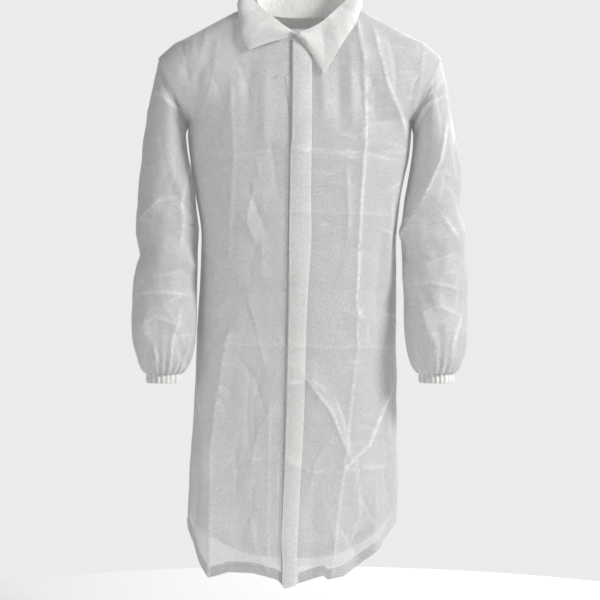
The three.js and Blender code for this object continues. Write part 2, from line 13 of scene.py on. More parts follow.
import bpy
import numpy as np
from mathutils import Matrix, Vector


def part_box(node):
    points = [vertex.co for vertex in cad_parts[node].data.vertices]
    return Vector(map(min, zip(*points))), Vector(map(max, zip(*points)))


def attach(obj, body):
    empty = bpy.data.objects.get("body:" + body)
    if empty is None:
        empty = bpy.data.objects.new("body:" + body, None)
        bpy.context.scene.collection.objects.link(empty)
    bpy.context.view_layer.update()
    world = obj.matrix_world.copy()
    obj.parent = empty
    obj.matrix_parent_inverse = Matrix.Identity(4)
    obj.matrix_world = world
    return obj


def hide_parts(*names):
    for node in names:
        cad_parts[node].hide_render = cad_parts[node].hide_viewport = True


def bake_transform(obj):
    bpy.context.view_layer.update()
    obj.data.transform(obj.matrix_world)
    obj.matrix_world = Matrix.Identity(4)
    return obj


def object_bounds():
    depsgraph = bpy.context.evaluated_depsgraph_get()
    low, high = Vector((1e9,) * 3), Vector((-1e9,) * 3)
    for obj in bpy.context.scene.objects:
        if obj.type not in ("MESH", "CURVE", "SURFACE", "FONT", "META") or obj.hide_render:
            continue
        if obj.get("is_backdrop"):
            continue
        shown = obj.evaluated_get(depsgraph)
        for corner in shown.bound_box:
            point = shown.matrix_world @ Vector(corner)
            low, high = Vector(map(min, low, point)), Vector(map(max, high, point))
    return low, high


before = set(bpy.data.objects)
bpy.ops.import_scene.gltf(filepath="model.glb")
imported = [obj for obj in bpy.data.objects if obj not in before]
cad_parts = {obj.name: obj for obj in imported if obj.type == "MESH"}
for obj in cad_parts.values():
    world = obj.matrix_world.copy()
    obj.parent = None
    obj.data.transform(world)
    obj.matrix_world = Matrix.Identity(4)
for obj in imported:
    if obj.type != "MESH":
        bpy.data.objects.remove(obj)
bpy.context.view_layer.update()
LOG = logging.getLogger("lab_coat")
Points = np.ndarray
Piece = bpy.types.Object
Look = bpy.types.Material
Tree = bpy.types.NodeTree
Socket = bpy.types.NodeSocket
Line = tuple[tuple[float, float], ...]

PLY = 0.0005  # thickness of one ply of cloth
TURN_LIFT = -2.4 * PLY  # a turned-up ply lies this far inside the cloth
SEW_LIFT = 0.8 * PLY  # hem stitches lie this far outside the cloth's middle
SEW_MARGIN = 0.003  # a row of stitches to the edge beside it
HIGHLIGHT_WIDTH = 0.0028  # half-width of the painted highlight along a crease
ASKEW = np.array([0.31, 0.27, 0.91])  # a direction that no seam follows
BODY = "coat_body"


class Side(Enum):
    """The wearer's side that a piece belongs to."""

    LEFT = 1
    RIGHT = -1

    @property
    def word(self) -> str:
        """The side's name, as the nodes spell it."""
        return self.name.lower()


class Face(Enum):
    """The half of the body that a panel covers."""

    FRONT = -1
    BACK = 1


class FoldKind(Enum):
    """The section that a fold has across its line."""

    SHARP = "sharp"
    SOFT = "soft"


# ---- arithmetic ----------------------------------------------------------------------
def ease(values: Points | float, low: float, high: float) -> Points:
    """Eased share of the way from low to high, held flat outside.

    Args:
        values: What is measured.
        low: Where the share is 0.
        high: Where the share is 1.

    Returns:
        Shares from 0 to 1.
    """
    share = np.clip((np.asarray(values, float) - low) / (high - low), 0, 1)
    return share * share * (3 - 2 * share)


def along(stops: Line, at: Points) -> Points:
    """Straight lines through (at, value) stops, held flat past both ends."""
    return np.interp(at, [s[0] for s in stops], [s[1] for s in stops])


def eased_along(stops: Line, at: Points) -> Points:
    """As along(), with an eased change between each two stops.

    Args:
        stops: The (at, value) stops.
        at: Where the values are wanted.

    Returns:
        The eased values.
    """
    at = np.asarray(at, float)
    value = np.full(at.shape, stops[0][1], float)
    for (low, first), (high, last) in zip(stops, stops[1:]):
        value = value + (last - first) * ease(at, low, high)
    return value


def smooth_line(points: Points, count: int) -> Points:
    """A smooth curve through points, at even steps of its length.

    Args:
        points: The points, one a row.
        count: How many points to return.

    Returns:
        Points on a Catmull-Rom curve, spaced evenly.
    """
    p = np.asarray(points, float)
    p = np.vstack([2 * p[0] - p[1], p, 2 * p[-1] - p[-2]])
    t = np.linspace(0, 1, 24, endpoint=False)[:, None]
    bits = []
    for a, b, c, d in zip(p, p[1:], p[2:], p[3:]):
        bits.append(
            0.5 * (2 * b + (c - a) * t + (2 * a - 5 * b + 4 * c - d) * t**2
                   + (3 * b - a - 3 * c + d) * t**3)
        )
    fine = np.vstack([*bits, p[-2][None]])
    return even_line(fine, count)


def even_line(points: Points, count: int) -> Points:
    """The same broken line with its points at even steps of its length.

    Args:
        points: The points, one a row.
        count: How many points to return.

    Returns:
        The points.
    """
    run = np.concatenate([[0], np.cumsum(np.linalg.norm(np.diff(points, axis=0), axis=1))])
    at = np.linspace(0, run[-1], count)
    return np.stack([np.interp(at, run, points[:, k]) for k in range(points.shape[1])], 1)


def grid_normals(grid: Points, ring: bool = False) -> Points:
    """The direction square to a grid of points, at each point.

    Args:
        grid: Points as rows by columns by 3.
        ring: Whether the last column joins the first.

    Returns:
        Unit vectors of the same shape.
    """
    down = np.gradient(grid, axis=0)
    if ring:
        wide = np.concatenate([grid[:, -1:], grid, grid[:, :1]], 1)
        across = np.gradient(wide, axis=1)[:, 1:-1]
    else:
        across = np.gradient(grid, axis=1)
    normal = np.cross(down, across)
    size = np.linalg.norm(normal, axis=2, keepdims=True)
    return normal / np.maximum(size, 1e-12)


def crumple(points: Points, seed: int, longest: float, stretch: tuple[float, ...]) -> Points:
    """Soft and sharp waves of cloth that has lain folded, from -1 to 1.

    Args:
        points: Where the waves are wanted, in metres.
        seed: Picks the waves.
        longest: The longest wave's length.
        stretch: How much longer the waves are along X, Y and Z.

    Returns:
        One height for each point.
    """
    rng = np.random.default_rng(seed)
    total = np.zeros(points.shape[:-1])
    weight = 0.0
    for octave in range(3):
        for _ in range(5):
            way = rng.normal(size=3)
            way = way / np.linalg.norm(way) / np.asarray(stretch)
            phase = (points @ way) * (2 * math.pi * 2**octave / longest) + rng.uniform(0, 6.28)
            part = np.sin(phase) if octave < 1 else 2 / math.pi * np.arcsin(np.sin(phase))
            share = 0.5**octave
            total += share * part
            weight += share
    return total / (0.45 * weight)


@dataclass(frozen=True)
class Fold:
    """A fold that runs along a line in the cloth, seen from ahead.

    The line's points are (x, drop below the neck point). A height above 0 stands out
    from the body, and one below 0 is a valley.
    """

    line: Line
    height: float
    width: float
    kind: FoldKind = FoldKind.SHARP
    # strength of the painted highlight, a lighter line along the fold
    painted_highlight: float = 0.5
    fade: float = 0.03

    def measure(self, x: Points, drop: Points) -> tuple[Points, Points]:
        """Distance to the line, and the share that the fading ends leave.

        Args:
            x: Places across.
            drop: Places down.

        Returns:
            The distance and the end fade, one for each place.
        """
        best = np.full(x.shape, 1e9)
        run = np.zeros(x.shape)
        start = 0.0
        for (ax, ay), (bx, by) in zip(self.line, self.line[1:]):
            length = math.hypot(bx - ax, by - ay)
            ux, uy = (bx - ax) / length, (by - ay) / length
            t = np.clip((x - ax) * ux + (drop - ay) * uy, 0, length)
            dx, dy = x - ax - t * ux, drop - ay - t * uy
            distance = np.hypot(dx, dy)
            near = distance < best
            best = np.where(near, distance, best)
            run = np.where(near, start + t, run)
            start += length
        reach = min(self.fade, start / 2.2)
        ends = ease(run, -0.3 * reach, reach) * ease(start - run, -0.3 * reach, reach)
        return best, ends

    def lift(self, x: Points, drop: Points) -> tuple[Points, Points]:
        """Height and painted highlight that the fold adds at each place.

        Args:
            x: Places across.
            drop: Places down.

        Returns:
            Heights and painted highlights.
        """
        distance, ends = self.measure(x, drop)
        if self.kind is FoldKind.SOFT:
            shape = np.exp(-((distance / self.width) ** 2))
        else:
            shape = np.exp(-distance / self.width)
        # painted highlight: a lighter line along the crease, standing in for a lit ridge
        line = self.painted_highlight * np.exp(-((distance / HIGHLIGHT_WIDTH) ** 2))
        return self.height * ends * shape, ends * line


def pressed(line: Line, height: float = 0.0035, painted_highlight: float = 0.8) -> Fold:
    """A crease that packing pressed into the cloth."""
    return Fold(line, height, 0.011, FoldKind.SHARP, painted_highlight)


def hung(line: Line, height: float, width: float, painted_highlight: float = 0.2) -> Fold:
    """A soft fold that the cloth's weight makes."""
    return Fold(line, height, width, FoldKind.SOFT, painted_highlight, 0.06)


# ---- the body's surface --------------------------------------------------------------
def corner(node: str, top: bool) -> Vector:
    """The highest or lowest corner of a CAD node."""
    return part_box(node)[1 if top else 0]


@dataclass(frozen=True)
class CoatShape:
    """Sizes of the coat. Drops are measured down from the neck point."""

    length: float = -corner("back_panel", False).z
    shoulder_half: float = corner("back_panel", True).x
    shoulder_drop: float = 0.101
    armpit_half: float = 0.211
    armpit_drop: float = 0.225
    waist_half: float = 0.184
    waist_drop: float = 0.450
    hem_half: float = 0.207
    neck_half: float = 0.088
    neck_drop: float = 0.007
    front_neck_drop: float = 0.078
    back_neck_drop: float = 0.021
    roundness: float = 2.4
    seam_half: float = 0.0006
    armhole_depth: float = corner("left_armhole_seam", True).y
    lean: float = 0.014
    lean_run: float = 0.35  # how far below the hem the lean would end
    front_depths: tuple[float, float, float] = (0.129, 0.127, 0.137)
    back_depths: tuple[float, float, float] = (0.113, 0.105, 0.131)
    slope: Line = ((0, 0.12), (0.16, 0.36), (0.36, 0.56), (0.73, 0.74), (1, 0.83))
    shoulder_shares: Line = ((0, 0), (0.2, 0.09), (0.44, 0.34), (0.66, 0.57), (0.85, 0.75), (1, 1))

    def depth(self, drop: Points, face: Face) -> Points:
        """How far the cloth stands out from the side plane, at a drop.

        Args:
            drop: Places down.
            face: Front or back.

        Returns:
            The depths.
        """
        depths = self.front_depths if face is Face.FRONT else self.back_depths
        chest, waist, hem = depths
        low = eased_along(
            ((self.armpit_drop, chest), (self.waist_drop, waist), (self.length, hem)), drop
        )
        yoke = chest * along(self.slope, drop / self.shoulder_drop)
        middle = chest * along(
            ((self.shoulder_drop, self.slope[-1][1]), (self.armpit_drop, 1.0)), drop
        )
        high = np.where(drop <= self.shoulder_drop, yoke, middle)
        return np.where(drop >= self.armpit_drop, low, high)

    def armhole_share(self, drop: Points) -> Points:
        """Share of the way down the armhole."""
        return (drop - self.shoulder_drop) / (self.armpit_drop - self.shoulder_drop)

    def side_line(self, drop: Points) -> Points:
        """Half-width at the side seam."""
        return eased_along(
            ((self.armpit_drop, self.armpit_half), (self.waist_drop, self.waist_half),
             (self.length, self.hem_half)), drop
        )

    def panel_edge(self, drop: Points) -> Points:
        """Where a panel ends sideways: shoulder tip, armhole, then the side seam."""
        hole = along(
            ((self.shoulder_drop, self.shoulder_half), (self.armpit_drop, self.armpit_half)), drop
        )
        return np.where(drop < self.armpit_drop, hole, self.side_line(drop))

    def shoulder_drop_at(self, x: Points) -> Points:
        """Drop of the shoulder line at a distance from the middle.

        Args:
            x: Places across.

        Returns:
            The drops.
        """
        share = (np.abs(x) - self.neck_half) / (self.shoulder_half - self.neck_half)
        fall = along(self.shoulder_shares, share)
        return self.neck_drop + fall * (self.shoulder_drop - self.neck_drop)

    def shoulder_half_at(self, drop: Points) -> Points:
        """Half-width of the shoulder line at a drop.

        Args:
            drop: Places down.

        Returns:
            The half-widths.
        """
        share = (drop - self.neck_drop) / (self.shoulder_drop - self.neck_drop)
        flipped = tuple((b, a) for a, b in self.shoulder_shares)
        reach = along(flipped, share)
        return self.neck_half + reach * (self.shoulder_half - self.neck_half)

    def body_half(self, drop: Points, depth: Points) -> Points:
        """Half-width of the rounded section that the cloth lies on.

        Args:
            drop: Places down.
            depth: Depth of the section there.

        Returns:
            The half-widths.
        """
        share = np.clip(self.armhole_share(drop), 0, 1)
        bow = np.sqrt(np.maximum(0, 1 - (2 * share - 1) ** 2))
        inside = 1 - (self.armhole_depth * bow / depth) ** self.roundness
        hole = self.panel_edge(drop) / np.maximum(inside, 1e-6) ** (1 / self.roundness)
        low = np.where(drop >= self.armpit_drop, self.side_line(drop), hole)
        return np.where(drop <= self.shoulder_drop, self.shoulder_half_at(drop), low)

    def base(self, x: Points, drop: Points, face: Face) -> Points:
        """Points on the smooth surface, before any fold.

        Args:
            x: Places across.
            drop: Places down.
            face: Front or back.

        Returns:
            The points.
        """
        depth = self.depth(drop, face)
        share = np.minimum(1, np.abs(x) / self.body_half(drop, depth))
        reach = depth * (1 - share**self.roundness) ** (1 / self.roundness)
        return np.stack([x, face.value * (self.seam_half + reach), -drop], -1)

    def drift(self, drop: Points) -> Points:
        """How far the whole coat hangs to the wearer's right, at a drop."""
        return -self.lean * ease(drop, self.front_neck_drop, self.length + self.lean_run)

    def neck_edge(self, x: Points, face: Face) -> Points:
        """Drop of the neck hole's edge.

        Args:
            x: Places across.
            face: Front or back.

        Returns:
            The drops.
        """
        low = self.front_neck_drop if face is Face.FRONT else self.back_neck_drop
        share = np.minimum(1, np.abs(x) / self.neck_half)
        return self.neck_drop + (low - self.neck_drop) * np.sqrt(1 - share**2)

    def top_edge(self, x: Points, face: Face) -> Points:
        """Where the cloth starts: the neck hole, then the shoulder line."""
        inside = np.abs(x) < self.neck_half
        return np.where(inside, self.neck_edge(x, face), self.shoulder_drop_at(x))

    def centre(self, drop: Points) -> Points:
        """Where the middle of the front runs, before the drift."""
        return -0.3 * self.lean * ease(drop, self.front_neck_drop, self.length)


SHAPE = CoatShape()


# ---- folds of the body ---------------------------------------------------------------
FRONT_FOLDS: tuple[Fold, ...] = (
    # long upright packing creases
    pressed(((-0.126, 0.15), (-0.119, 0.287), (-0.126, 0.497)), 0.004, 0.7),
    Fold(((-0.1205, 0.61), (-0.142, 0.758), (-0.148, 0.833), (-0.15, 1.085)), 0.009, 0.017,
         FoldKind.SHARP, 1.0),
    pressed(((0.1205, 0.139), (0.1205, 0.281), (0.111, 0.396), (0.108, 0.579)), 0.005, 0.9),
    pressed(((0.108, 0.579), (0.113, 0.643), (0.095, 0.85), (0.073, 1.085)), 0.0035, 0.6),
    pressed(((-0.048, 0.73), (-0.047, 1.05)), 0.0022, 0.55),
    pressed(((-0.031, 0.84), (-0.03, 1.085)), 0.0022, 0.5),
    # level packing creases
    pressed(((-0.201, 0.298), (-0.142, 0.294), (-0.02, 0.286)), -0.0024, 0.35),
    pressed(((0.02, 0.286), (0.119, 0.29), (0.195, 0.305)), -0.0026, 0.45),
    pressed(((-0.19, 0.392), (0.000, 0.398), (0.185, 0.404)), 0.0018, 0.25),
    pressed(((-0.186, 0.546), (0.01, 0.54), (0.185, 0.548)), -0.0016, 0.2),
    pressed(((-0.19, 0.64), (0.000, 0.643), (0.19, 0.648)), 0.0026, 0.35),
    pressed(((-0.19, 0.858), (-0.02, 0.846), (0.03, 0.872), (0.19, 0.866)), 0.0024, 0.45),
    pressed(((-0.022, 0.284), (0.032, 0.289)), 0.0032, 0.8),
    pressed(((-0.024, 0.713), (0.018, 0.707)), 0.003, 0.7),
    # pulls from the shoulders
    pressed(((0.106, 0.03), (0.113, 0.091), (0.1205, 0.139)), 0.0065, 1.0),
    pressed(((0.137, 0.05), (0.146, 0.104), (0.161, 0.163), (0.182, 0.215), (0.199, 0.256)),
            0.0075, 1.0),
    hung(((0.04, 0.11), (0.046, 0.25)), 0.004, 0.01),
    hung(((0.068, 0.095), (0.074, 0.26)), -0.0035, 0.009),
    hung(((0.092, 0.08), (0.098, 0.25)), 0.004, 0.009),
    hung(((-0.06, 0.11), (-0.066, 0.29)), 0.0035, 0.012),
    hung(((-0.092, 0.1), (-0.098, 0.26)), -0.003, 0.01),
    pressed(((-0.15, 0.075), (-0.158, 0.15), (-0.182, 0.235)), 0.0042, 0.6),
    hung(((-0.182, 0.118), (-0.192, 0.19), (-0.2, 0.235)), -0.005, 0.01),
    # small crossing folds
    pressed(((-0.08, 0.345), (-0.093, 0.418), (-0.073, 0.462)), 0.0045, 0.8),
    pressed(((-0.062, 0.372), (-0.093, 0.418)), -0.003, 0.2),
    pressed(((-0.17, 0.545), (-0.131, 0.5)), -0.005, 0.2),
    pressed(((-0.16, 0.6), (-0.126, 0.56)), 0.003, 0.5),
    pressed(((-0.196, 0.45), (-0.15, 0.485), (-0.128, 0.53)), 0.0035, 0.5),
    pressed(((0.108, 0.56), (0.113, 0.59), (0.121, 0.566)), 0.0035, 0.8),
    pressed(((0.008, 0.69), (0.066, 0.762), (0.082, 0.798), (0.104, 0.85)), 0.006, 1.0),
    pressed(((0.022, 0.7), (0.06, 0.73)), 0.003, 0.5),
    pressed(((0.183, 0.716), (0.142, 0.825), (0.073, 0.885)), 0.0055, 0.9),
    pressed(((0.17, 0.64), (0.15, 0.74)), -0.004, 0.3),
    pressed(((-0.19, 0.7), (-0.165, 0.79), (-0.158, 0.9)), 0.005, 0.5),
    hung(((-0.185, 0.33), (-0.176, 0.48)), 0.005, 0.012),
    hung(((0.178, 0.33), (0.168, 0.52)), 0.005, 0.012),
    hung(((0.15, 0.42), (0.146, 0.64)), -0.004, 0.012),
    hung(((0.16, 0.88), (0.158, 1.085)), 0.009, 0.016),
    hung(((0.12, 0.93), (0.116, 1.085)), -0.006, 0.014),
    hung(((-0.186, 0.86), (-0.188, 1.085)), -0.008, 0.016),
    hung(((-0.1, 0.9), (-0.098, 1.085)), -0.004, 0.03),
    hung(((0.035, 0.9), (0.033, 1.085)), -0.004, 0.016),
)


def scattered(seed: int, count: int, box: tuple[float, float, float, float],
              tall: float = 0.6) -> tuple[Fold, ...]:
    """Small crisp creases strewn over a stretch of cloth.

    Args:
        seed: Picks the creases.
        count: How many there are.
        box: Lowest and highest X, then lowest and highest drop.
        tall: Share of them that run nearly upright.

    Returns:
        The creases.
    """
    rng = np.random.default_rng(seed)
    folds = []
    for _ in range(count):
        x, drop = rng.uniform(box[0], box[1]), rng.uniform(box[2], box[3])
        upright = rng.random() < tall
        angle = rng.normal(math.pi / 2 if upright else 0.0, 0.30)
        half = rng.uniform(0.018, 0.060) * (1.3 if upright else 0.7)
        bend = rng.normal(0, 0.12)
        way = np.array([math.cos(angle), math.sin(angle)])
        off = np.array([-way[1], way[0]]) * half * bend
        ends = [(x - way[0] * half, drop - way[1] * half), (x + off[0], drop + off[1]),
                (x + way[0] * half, drop + way[1] * half)]
        height = rng.choice([-1.0, 1.0]) * rng.uniform(0.0012, 0.0032)
        # strength of this crease's painted highlight
        painted_highlight = rng.uniform(0.12, 0.5)
        folds.append(Fold(tuple(ends), height, 0.007, FoldKind.SHARP, painted_highlight))
    return tuple(folds)


FRONT_FOLDS += scattered(6, 16, (0.100, 0.235, 0.060, 0.210), 0.85)
FRONT_FOLDS += scattered(8, 16, (-0.235, -0.100, 0.060, 0.210), 0.85)
FRONT_FOLDS += scattered(3, 46, (-0.19, -0.03, 0.12, 1.04))
FRONT_FOLDS += scattered(4, 46, (0.03, 0.19, 0.12, 1.04))

BACK_FOLDS: tuple[Fold, ...] = (
    pressed(((0.0, 0.06), (0.002, 0.5), (-0.002, 1.085)), 0.0045, 0.9),
    pressed(((-0.124, 0.11), (-0.12, 0.4), (-0.124, 0.7), (-0.135, 1.085)), 0.0045, 0.8),
    pressed(((0.122, 0.11), (0.118, 0.4), (0.121, 0.7), (0.13, 1.085)), -0.004, 0.7),
    pressed(((-0.2, 0.29), (0.0, 0.286), (0.2, 0.292)), 0.0026, 0.4),
    pressed(((-0.19, 0.545), (0.0, 0.54), (0.19, 0.546)), -0.0026, 0.4),
    pressed(((-0.195, 0.8), (0.0, 0.806), (0.195, 0.8)), 0.0026, 0.4),
    hung(((0.05, 0.04), (0.12, 0.15), (0.185, 0.24)), 0.006, 0.013),
    hung(((-0.05, 0.04), (-0.12, 0.15), (-0.185, 0.24)), 0.0055, 0.013),
    hung(((0.03, 0.06), (0.06, 0.22), (0.07, 0.36)), -0.0045, 0.014),
    hung(((-0.034, 0.06), (-0.062, 0.2), (-0.08, 0.33)), -0.0045, 0.014),
    hung(((0.16, 0.3), (0.12, 0.42), (0.07, 0.5)), 0.0055, 0.012),
    hung(((-0.165, 0.31), (-0.13, 0.41), (-0.06, 0.48)), 0.005, 0.012),
    hung(((-0.06, 0.56), (-0.075, 0.8), (-0.085, 1.085)), 0.009, 0.022),
    hung(((0.06, 0.58), (0.072, 0.8), (0.08, 1.085)), 0.0095, 0.022),
    hung(((0.165, 0.62), (0.172, 0.85), (0.178, 1.085)), 0.0085, 0.018),
    hung(((-0.168, 0.62), (-0.174, 0.85), (-0.18, 1.085)), 0.0085, 0.018),
    hung(((0.018, 0.64), (0.022, 0.86), (0.026, 1.085)), -0.007, 0.018),
    hung(((-0.118, 0.7), (-0.125, 1.085)), -0.006, 0.016),
    hung(((0.12, 0.7), (0.126, 1.085)), -0.006, 0.016),
)

BACK_FOLDS += scattered(5, 80, (-0.18, 0.18, 0.12, 1.02))


@dataclass(frozen=True)
class Drape:
    """The cloth's folds, laid on the smooth body surface."""

    shape: CoatShape
    crumple_height: float = 0.0021
    wave_height: float = 0.0070
    narrowing: float = 0.075  # how much the wearer's left side hangs in by the hem

    def heights(self, x: Points, drop: Points, face: Face) -> tuple[Points, Points]:
        """Height over the smooth surface and painted highlight along creases, at each place.

        Args:
            x: Places across, before the drift.
            drop: Places down.
            face: Front or back.

        Returns:
            Heights in metres and painted highlights from 0 to 1.
        """
        folds = FRONT_FOLDS if face is Face.FRONT else BACK_FOLDS
        height = np.zeros(x.shape)
        painted_highlight = np.zeros(x.shape)
        for fold in folds:
            part, line = fold.lift(x, drop)
            height += part
            painted_highlight = np.maximum(painted_highlight, line)
        side = self.shape.panel_edge(drop) - np.abs(x)
        keep_side = ease(side, 0.0, 0.022)
        below_top = drop - self.shape.top_edge(x, face)
        keep_top = ease(below_top, 0.0, 0.03)
        base = self.shape.base(x, drop, face)
        fine = self.crumple_height * crumple(base, 7, 0.15, (1.0, 1.0, 1.3))
        level = ease(drop, self.shape.waist_drop, self.shape.length)
        flutes = self.wave_height * level * crumple(base, 23, 0.21, (1.0, 1.0, 7.0))
        beside_hole = drop < self.shape.armpit_drop + 0.02
        seam_hold = np.where(beside_hole, ease(side, -0.004, 0.03), 1.0)
        return (height * keep_side * keep_top + (fine + flutes) * keep_top * seam_hold,
                painted_highlight * keep_top)

    def points(self, x: Points, drop: Points, face: Face, lift: Points | float = 0.0) -> Points:
        """Points on the draped cloth, or at a distance outward from it.

        Args:
            x: Places across, before the drift.
            drop: Places down.
            face: Front or back.
            lift: Distance outward from the cloth's middle.

        Returns:
            The points.
        """
        x, drop = np.broadcast_arrays(np.asarray(x, float), np.asarray(drop, float))
        step = 0.002
        # outward comes from the smooth section, held clear of its vertical ends
        limit = self.shape.panel_edge(drop) - 2 * step
        inner = np.clip(x, -limit, limit)
        ahead = self.shape.base(inner + step, drop, face) - self.shape.base(inner - step, drop, face)
        aside, level = np.abs(ahead[..., 1]), np.abs(ahead[..., 0])
        over = ease(self.shape.shoulder_drop - drop, 0, self.shape.shoulder_drop)
        outward = np.stack([np.sign(x) * aside, face.value * level, 0.9 * over * level], -1)
        outward /= np.linalg.norm(outward, axis=-1, keepdims=True)
        height, _ = self.heights(x, drop, face)
        point = self.shape.base(x, drop, face) + outward * (height + lift)[..., None]
        inward = self.narrowing * ease(drop, self.shape.waist_drop, self.shape.length)
        point[..., 0] *= 1 - np.where(x > 0, inward, 0.0)
        point[..., 0] += self.shape.drift(drop)
        return point


DRAPE = Drape(SHAPE)


# ---- meshes --------------------------------------------------------------------------
def finish_mesh(name: str, points: Points, faces: Points | list, cut: Points, painted_highlight: Points,
                look: Look) -> Piece:
    """Makes an object from points and faces, with the cloth's own coordinates.

    Args:
        name: The piece's name.
        points: One point a row.
        faces: The faces' corner numbers.
        cut: Each point's place in the flat cloth.
        painted_highlight: Each point's painted highlight along creases.
        look: The material.

    Returns:
        The new object, linked to the scene.
    """
    mesh = bpy.data.meshes.new(name)
    mesh.from_pydata(points.tolist(), [], faces.tolist() if hasattr(faces, "tolist") else faces)
    flat = mesh.attributes.new("cut", "FLOAT_VECTOR", "POINT")
    flat.data.foreach_set("vector", np.asarray(cut, np.float32).ravel())
    # each point's painted highlight along creases, read by the material
    crease = mesh.attributes.new("painted_highlight", "FLOAT", "POINT")
    crease.data.foreach_set("value", np.asarray(painted_highlight, np.float32).ravel())
    mesh.materials.append(look)
    mesh.shade_smooth()
    mesh.set_sharp_from_angle(angle=math.radians(52))
    mesh.update()
    piece = bpy.data.objects.new(name, mesh)
    bpy.context.scene.collection.objects.link(piece)
    return piece


def flat_places(grid: Points) -> Points:
    """Each point's place in the flat cloth, from the lengths along rows and columns.

    Args:
        grid: Rows by columns of points.

    Returns:
        Places in the flat cloth, with a third coordinate of 0.
    """
    across = np.linalg.norm(np.diff(grid, axis=1), axis=2)
    down = np.linalg.norm(np.diff(grid, axis=0), axis=2)
    u = np.concatenate([np.zeros((len(grid), 1)), np.cumsum(across, 1)], 1)
    v = np.concatenate([np.zeros((1, grid.shape[1])), np.cumsum(down, 0)], 0)
    u = u - u[:, grid.shape[1] // 2][:, None]
    v = np.repeat(v.mean(1)[:, None], grid.shape[1], 1)
    return np.stack([u, v, 0 * u], -1)


@dataclass
class Ply:
    """A ply of cloth between two offsets of one grid of points."""

    name: str
    grid: Points
    look: Look
    # painted highlight along creases, one value a point
    painted_highlight: Points | None = None
    thickness: float = PLY
    ring: bool = False

    def make(self) -> Piece:
        """Builds the closed mesh.

        Returns:
            The ply's object.
        """
        grid = self.grid
        rows, columns = grid.shape[:2]
        normals = grid_normals(grid, self.ring)
        outer = grid + normals * self.thickness / 2
        inner = grid - normals * self.thickness / 2
        points = np.concatenate([outer.reshape(-1, 3), inner.reshape(-1, 3)])
        index = np.arange(rows * columns).reshape(rows, columns)
        if self.ring:
            index = np.concatenate([index, index[:, :1]], 1)
        under = index + rows * columns
        a, b, c, d = index[:-1, :-1], index[1:, :-1], index[1:, 1:], index[:-1, 1:]
        quads = [np.stack([a, b, c, d], -1).reshape(-1, 4)]
        a, b, c, d = under[:-1, :-1], under[1:, :-1], under[1:, 1:], under[:-1, 1:]
        quads.append(np.stack([a, d, c, b], -1).reshape(-1, 4))
        for line, below, turned in self.rims(index, under):
            rim = [line[:-1], line[1:], below[1:], below[:-1]]
            rim = rim[::-1] if turned else rim
            quads.append(np.stack(rim, -1).reshape(-1, 4))
        painted_highlight = np.zeros((rows, columns)) if self.painted_highlight is None else self.painted_highlight
        return finish_mesh(
            self.name,
            points,
            np.concatenate(quads),
            np.concatenate([flat_places(grid).reshape(-1, 3)] * 2),
            np.concatenate([painted_highlight.ravel()] * 2),
            self.look,
        )

    def rims(self, index: Points, under: Points) -> list[tuple[Points, Points, bool]]:
        """The edges that join the two faces: each line, the one below, and its turn.

        Args:
            index: Corner numbers of the outer face.
            under: Corner numbers of the inner face.

        Returns:
            The edges.
        """
        rims = [(index[0], under[0], False), (index[-1], under[-1], True)]
        if not self.ring:
            rims += [(index[:, 0], under[:, 0], True), (index[:, -1], under[:, -1], False)]
        return rims


def swept_tube(line: Points, radius: float, sides: int) -> tuple[Points, Points]:
    """A round tube with closed ends along a line.

    Args:
        line: The middle of the tube.
        radius: Its radius.
        sides: Corners of its section.

    Returns:
        Points, and faces of four corner numbers, which repeat one where a face has three.
    """
    tangent = np.gradient(line, axis=0)
    tangent /= np.linalg.norm(tangent, axis=1, keepdims=True)
    first = np.cross(tangent, ASKEW)
    first /= np.linalg.norm(first, axis=1, keepdims=True)
    second = np.cross(tangent, first)
    turn = np.arange(sides) * 2 * math.pi / sides
    ring = (first[:, None] * np.cos(turn)[None, :, None]
            + second[:, None] * np.sin(turn)[None, :, None])
    points = (line[:, None] + radius * ring).reshape(-1, 3)
    index = np.arange(len(line) * sides).reshape(len(line), sides)
    after = np.roll(index, -1, 1)
    quads = np.stack([index[:-1], after[:-1], after[1:], index[1:]], -1).reshape(-1, 4)
    start = len(points)
    points = np.concatenate([points, line[:1], line[-1:]])
    caps = [[start, b, a, a] for a, b in zip(index[0], after[0])]
    caps += [[start + 1, a, b, b] for a, b in zip(index[-1], after[-1])]
    return points, np.concatenate([quads, np.array(caps)])


def thread_piece(name: str, tubes: list[tuple[Points, Points]], look: Look) -> Piece:
    """Joins tubes into one piece of thread.

    Args:
        name: The piece's name.
        tubes: Points and faces of each tube.
        look: The material.

    Returns:
        The piece.
    """
    points, faces, start = [], [], 0
    for part, quads in tubes:
        points.append(part)
        for quad in quads + start:
            faces.append(list(dict.fromkeys(int(n) for n in quad)))
        start += len(part)
    points = np.concatenate(points)
    piece = finish_mesh(name, points, faces, points, np.zeros(len(points)), look)
    return piece


def overlock(name: str, line: Points, look: Look, radius: float = 0.0011,
             pitch: float = 0.0042) -> Piece:
    """An overlocked seam: a cord of cloth edges with thread wound round it.

    Args:
        name: The piece's name.
        line: The seam's line.
        look: The thread's material.
        radius: Radius of the cord.
        pitch: Distance from one stitch to the next.

    Returns:
        The seam's object.
    """
    run = np.linalg.norm(np.diff(line, axis=0), axis=1).sum()
    core = even_line(line, max(12, int(run / 0.008)))
    turns = int(run / pitch)
    fine = even_line(line, turns * 8 + 1)
    tangent = np.gradient(fine, axis=0)
    tangent /= np.linalg.norm(tangent, axis=1, keepdims=True)
    first = np.cross(tangent, ASKEW)
    first /= np.linalg.norm(first, axis=1, keepdims=True)
    second = np.cross(tangent, first)
    angle = np.arange(len(fine)) * (2 * math.pi / 8)
    wound = fine + radius * 1.15 * (first * np.cos(angle)[:, None] + second * np.sin(angle)[:, None])
    return thread_piece(
        name, [swept_tube(core, radius, 7), swept_tube(wound, 0.00028, 4)], look
    )


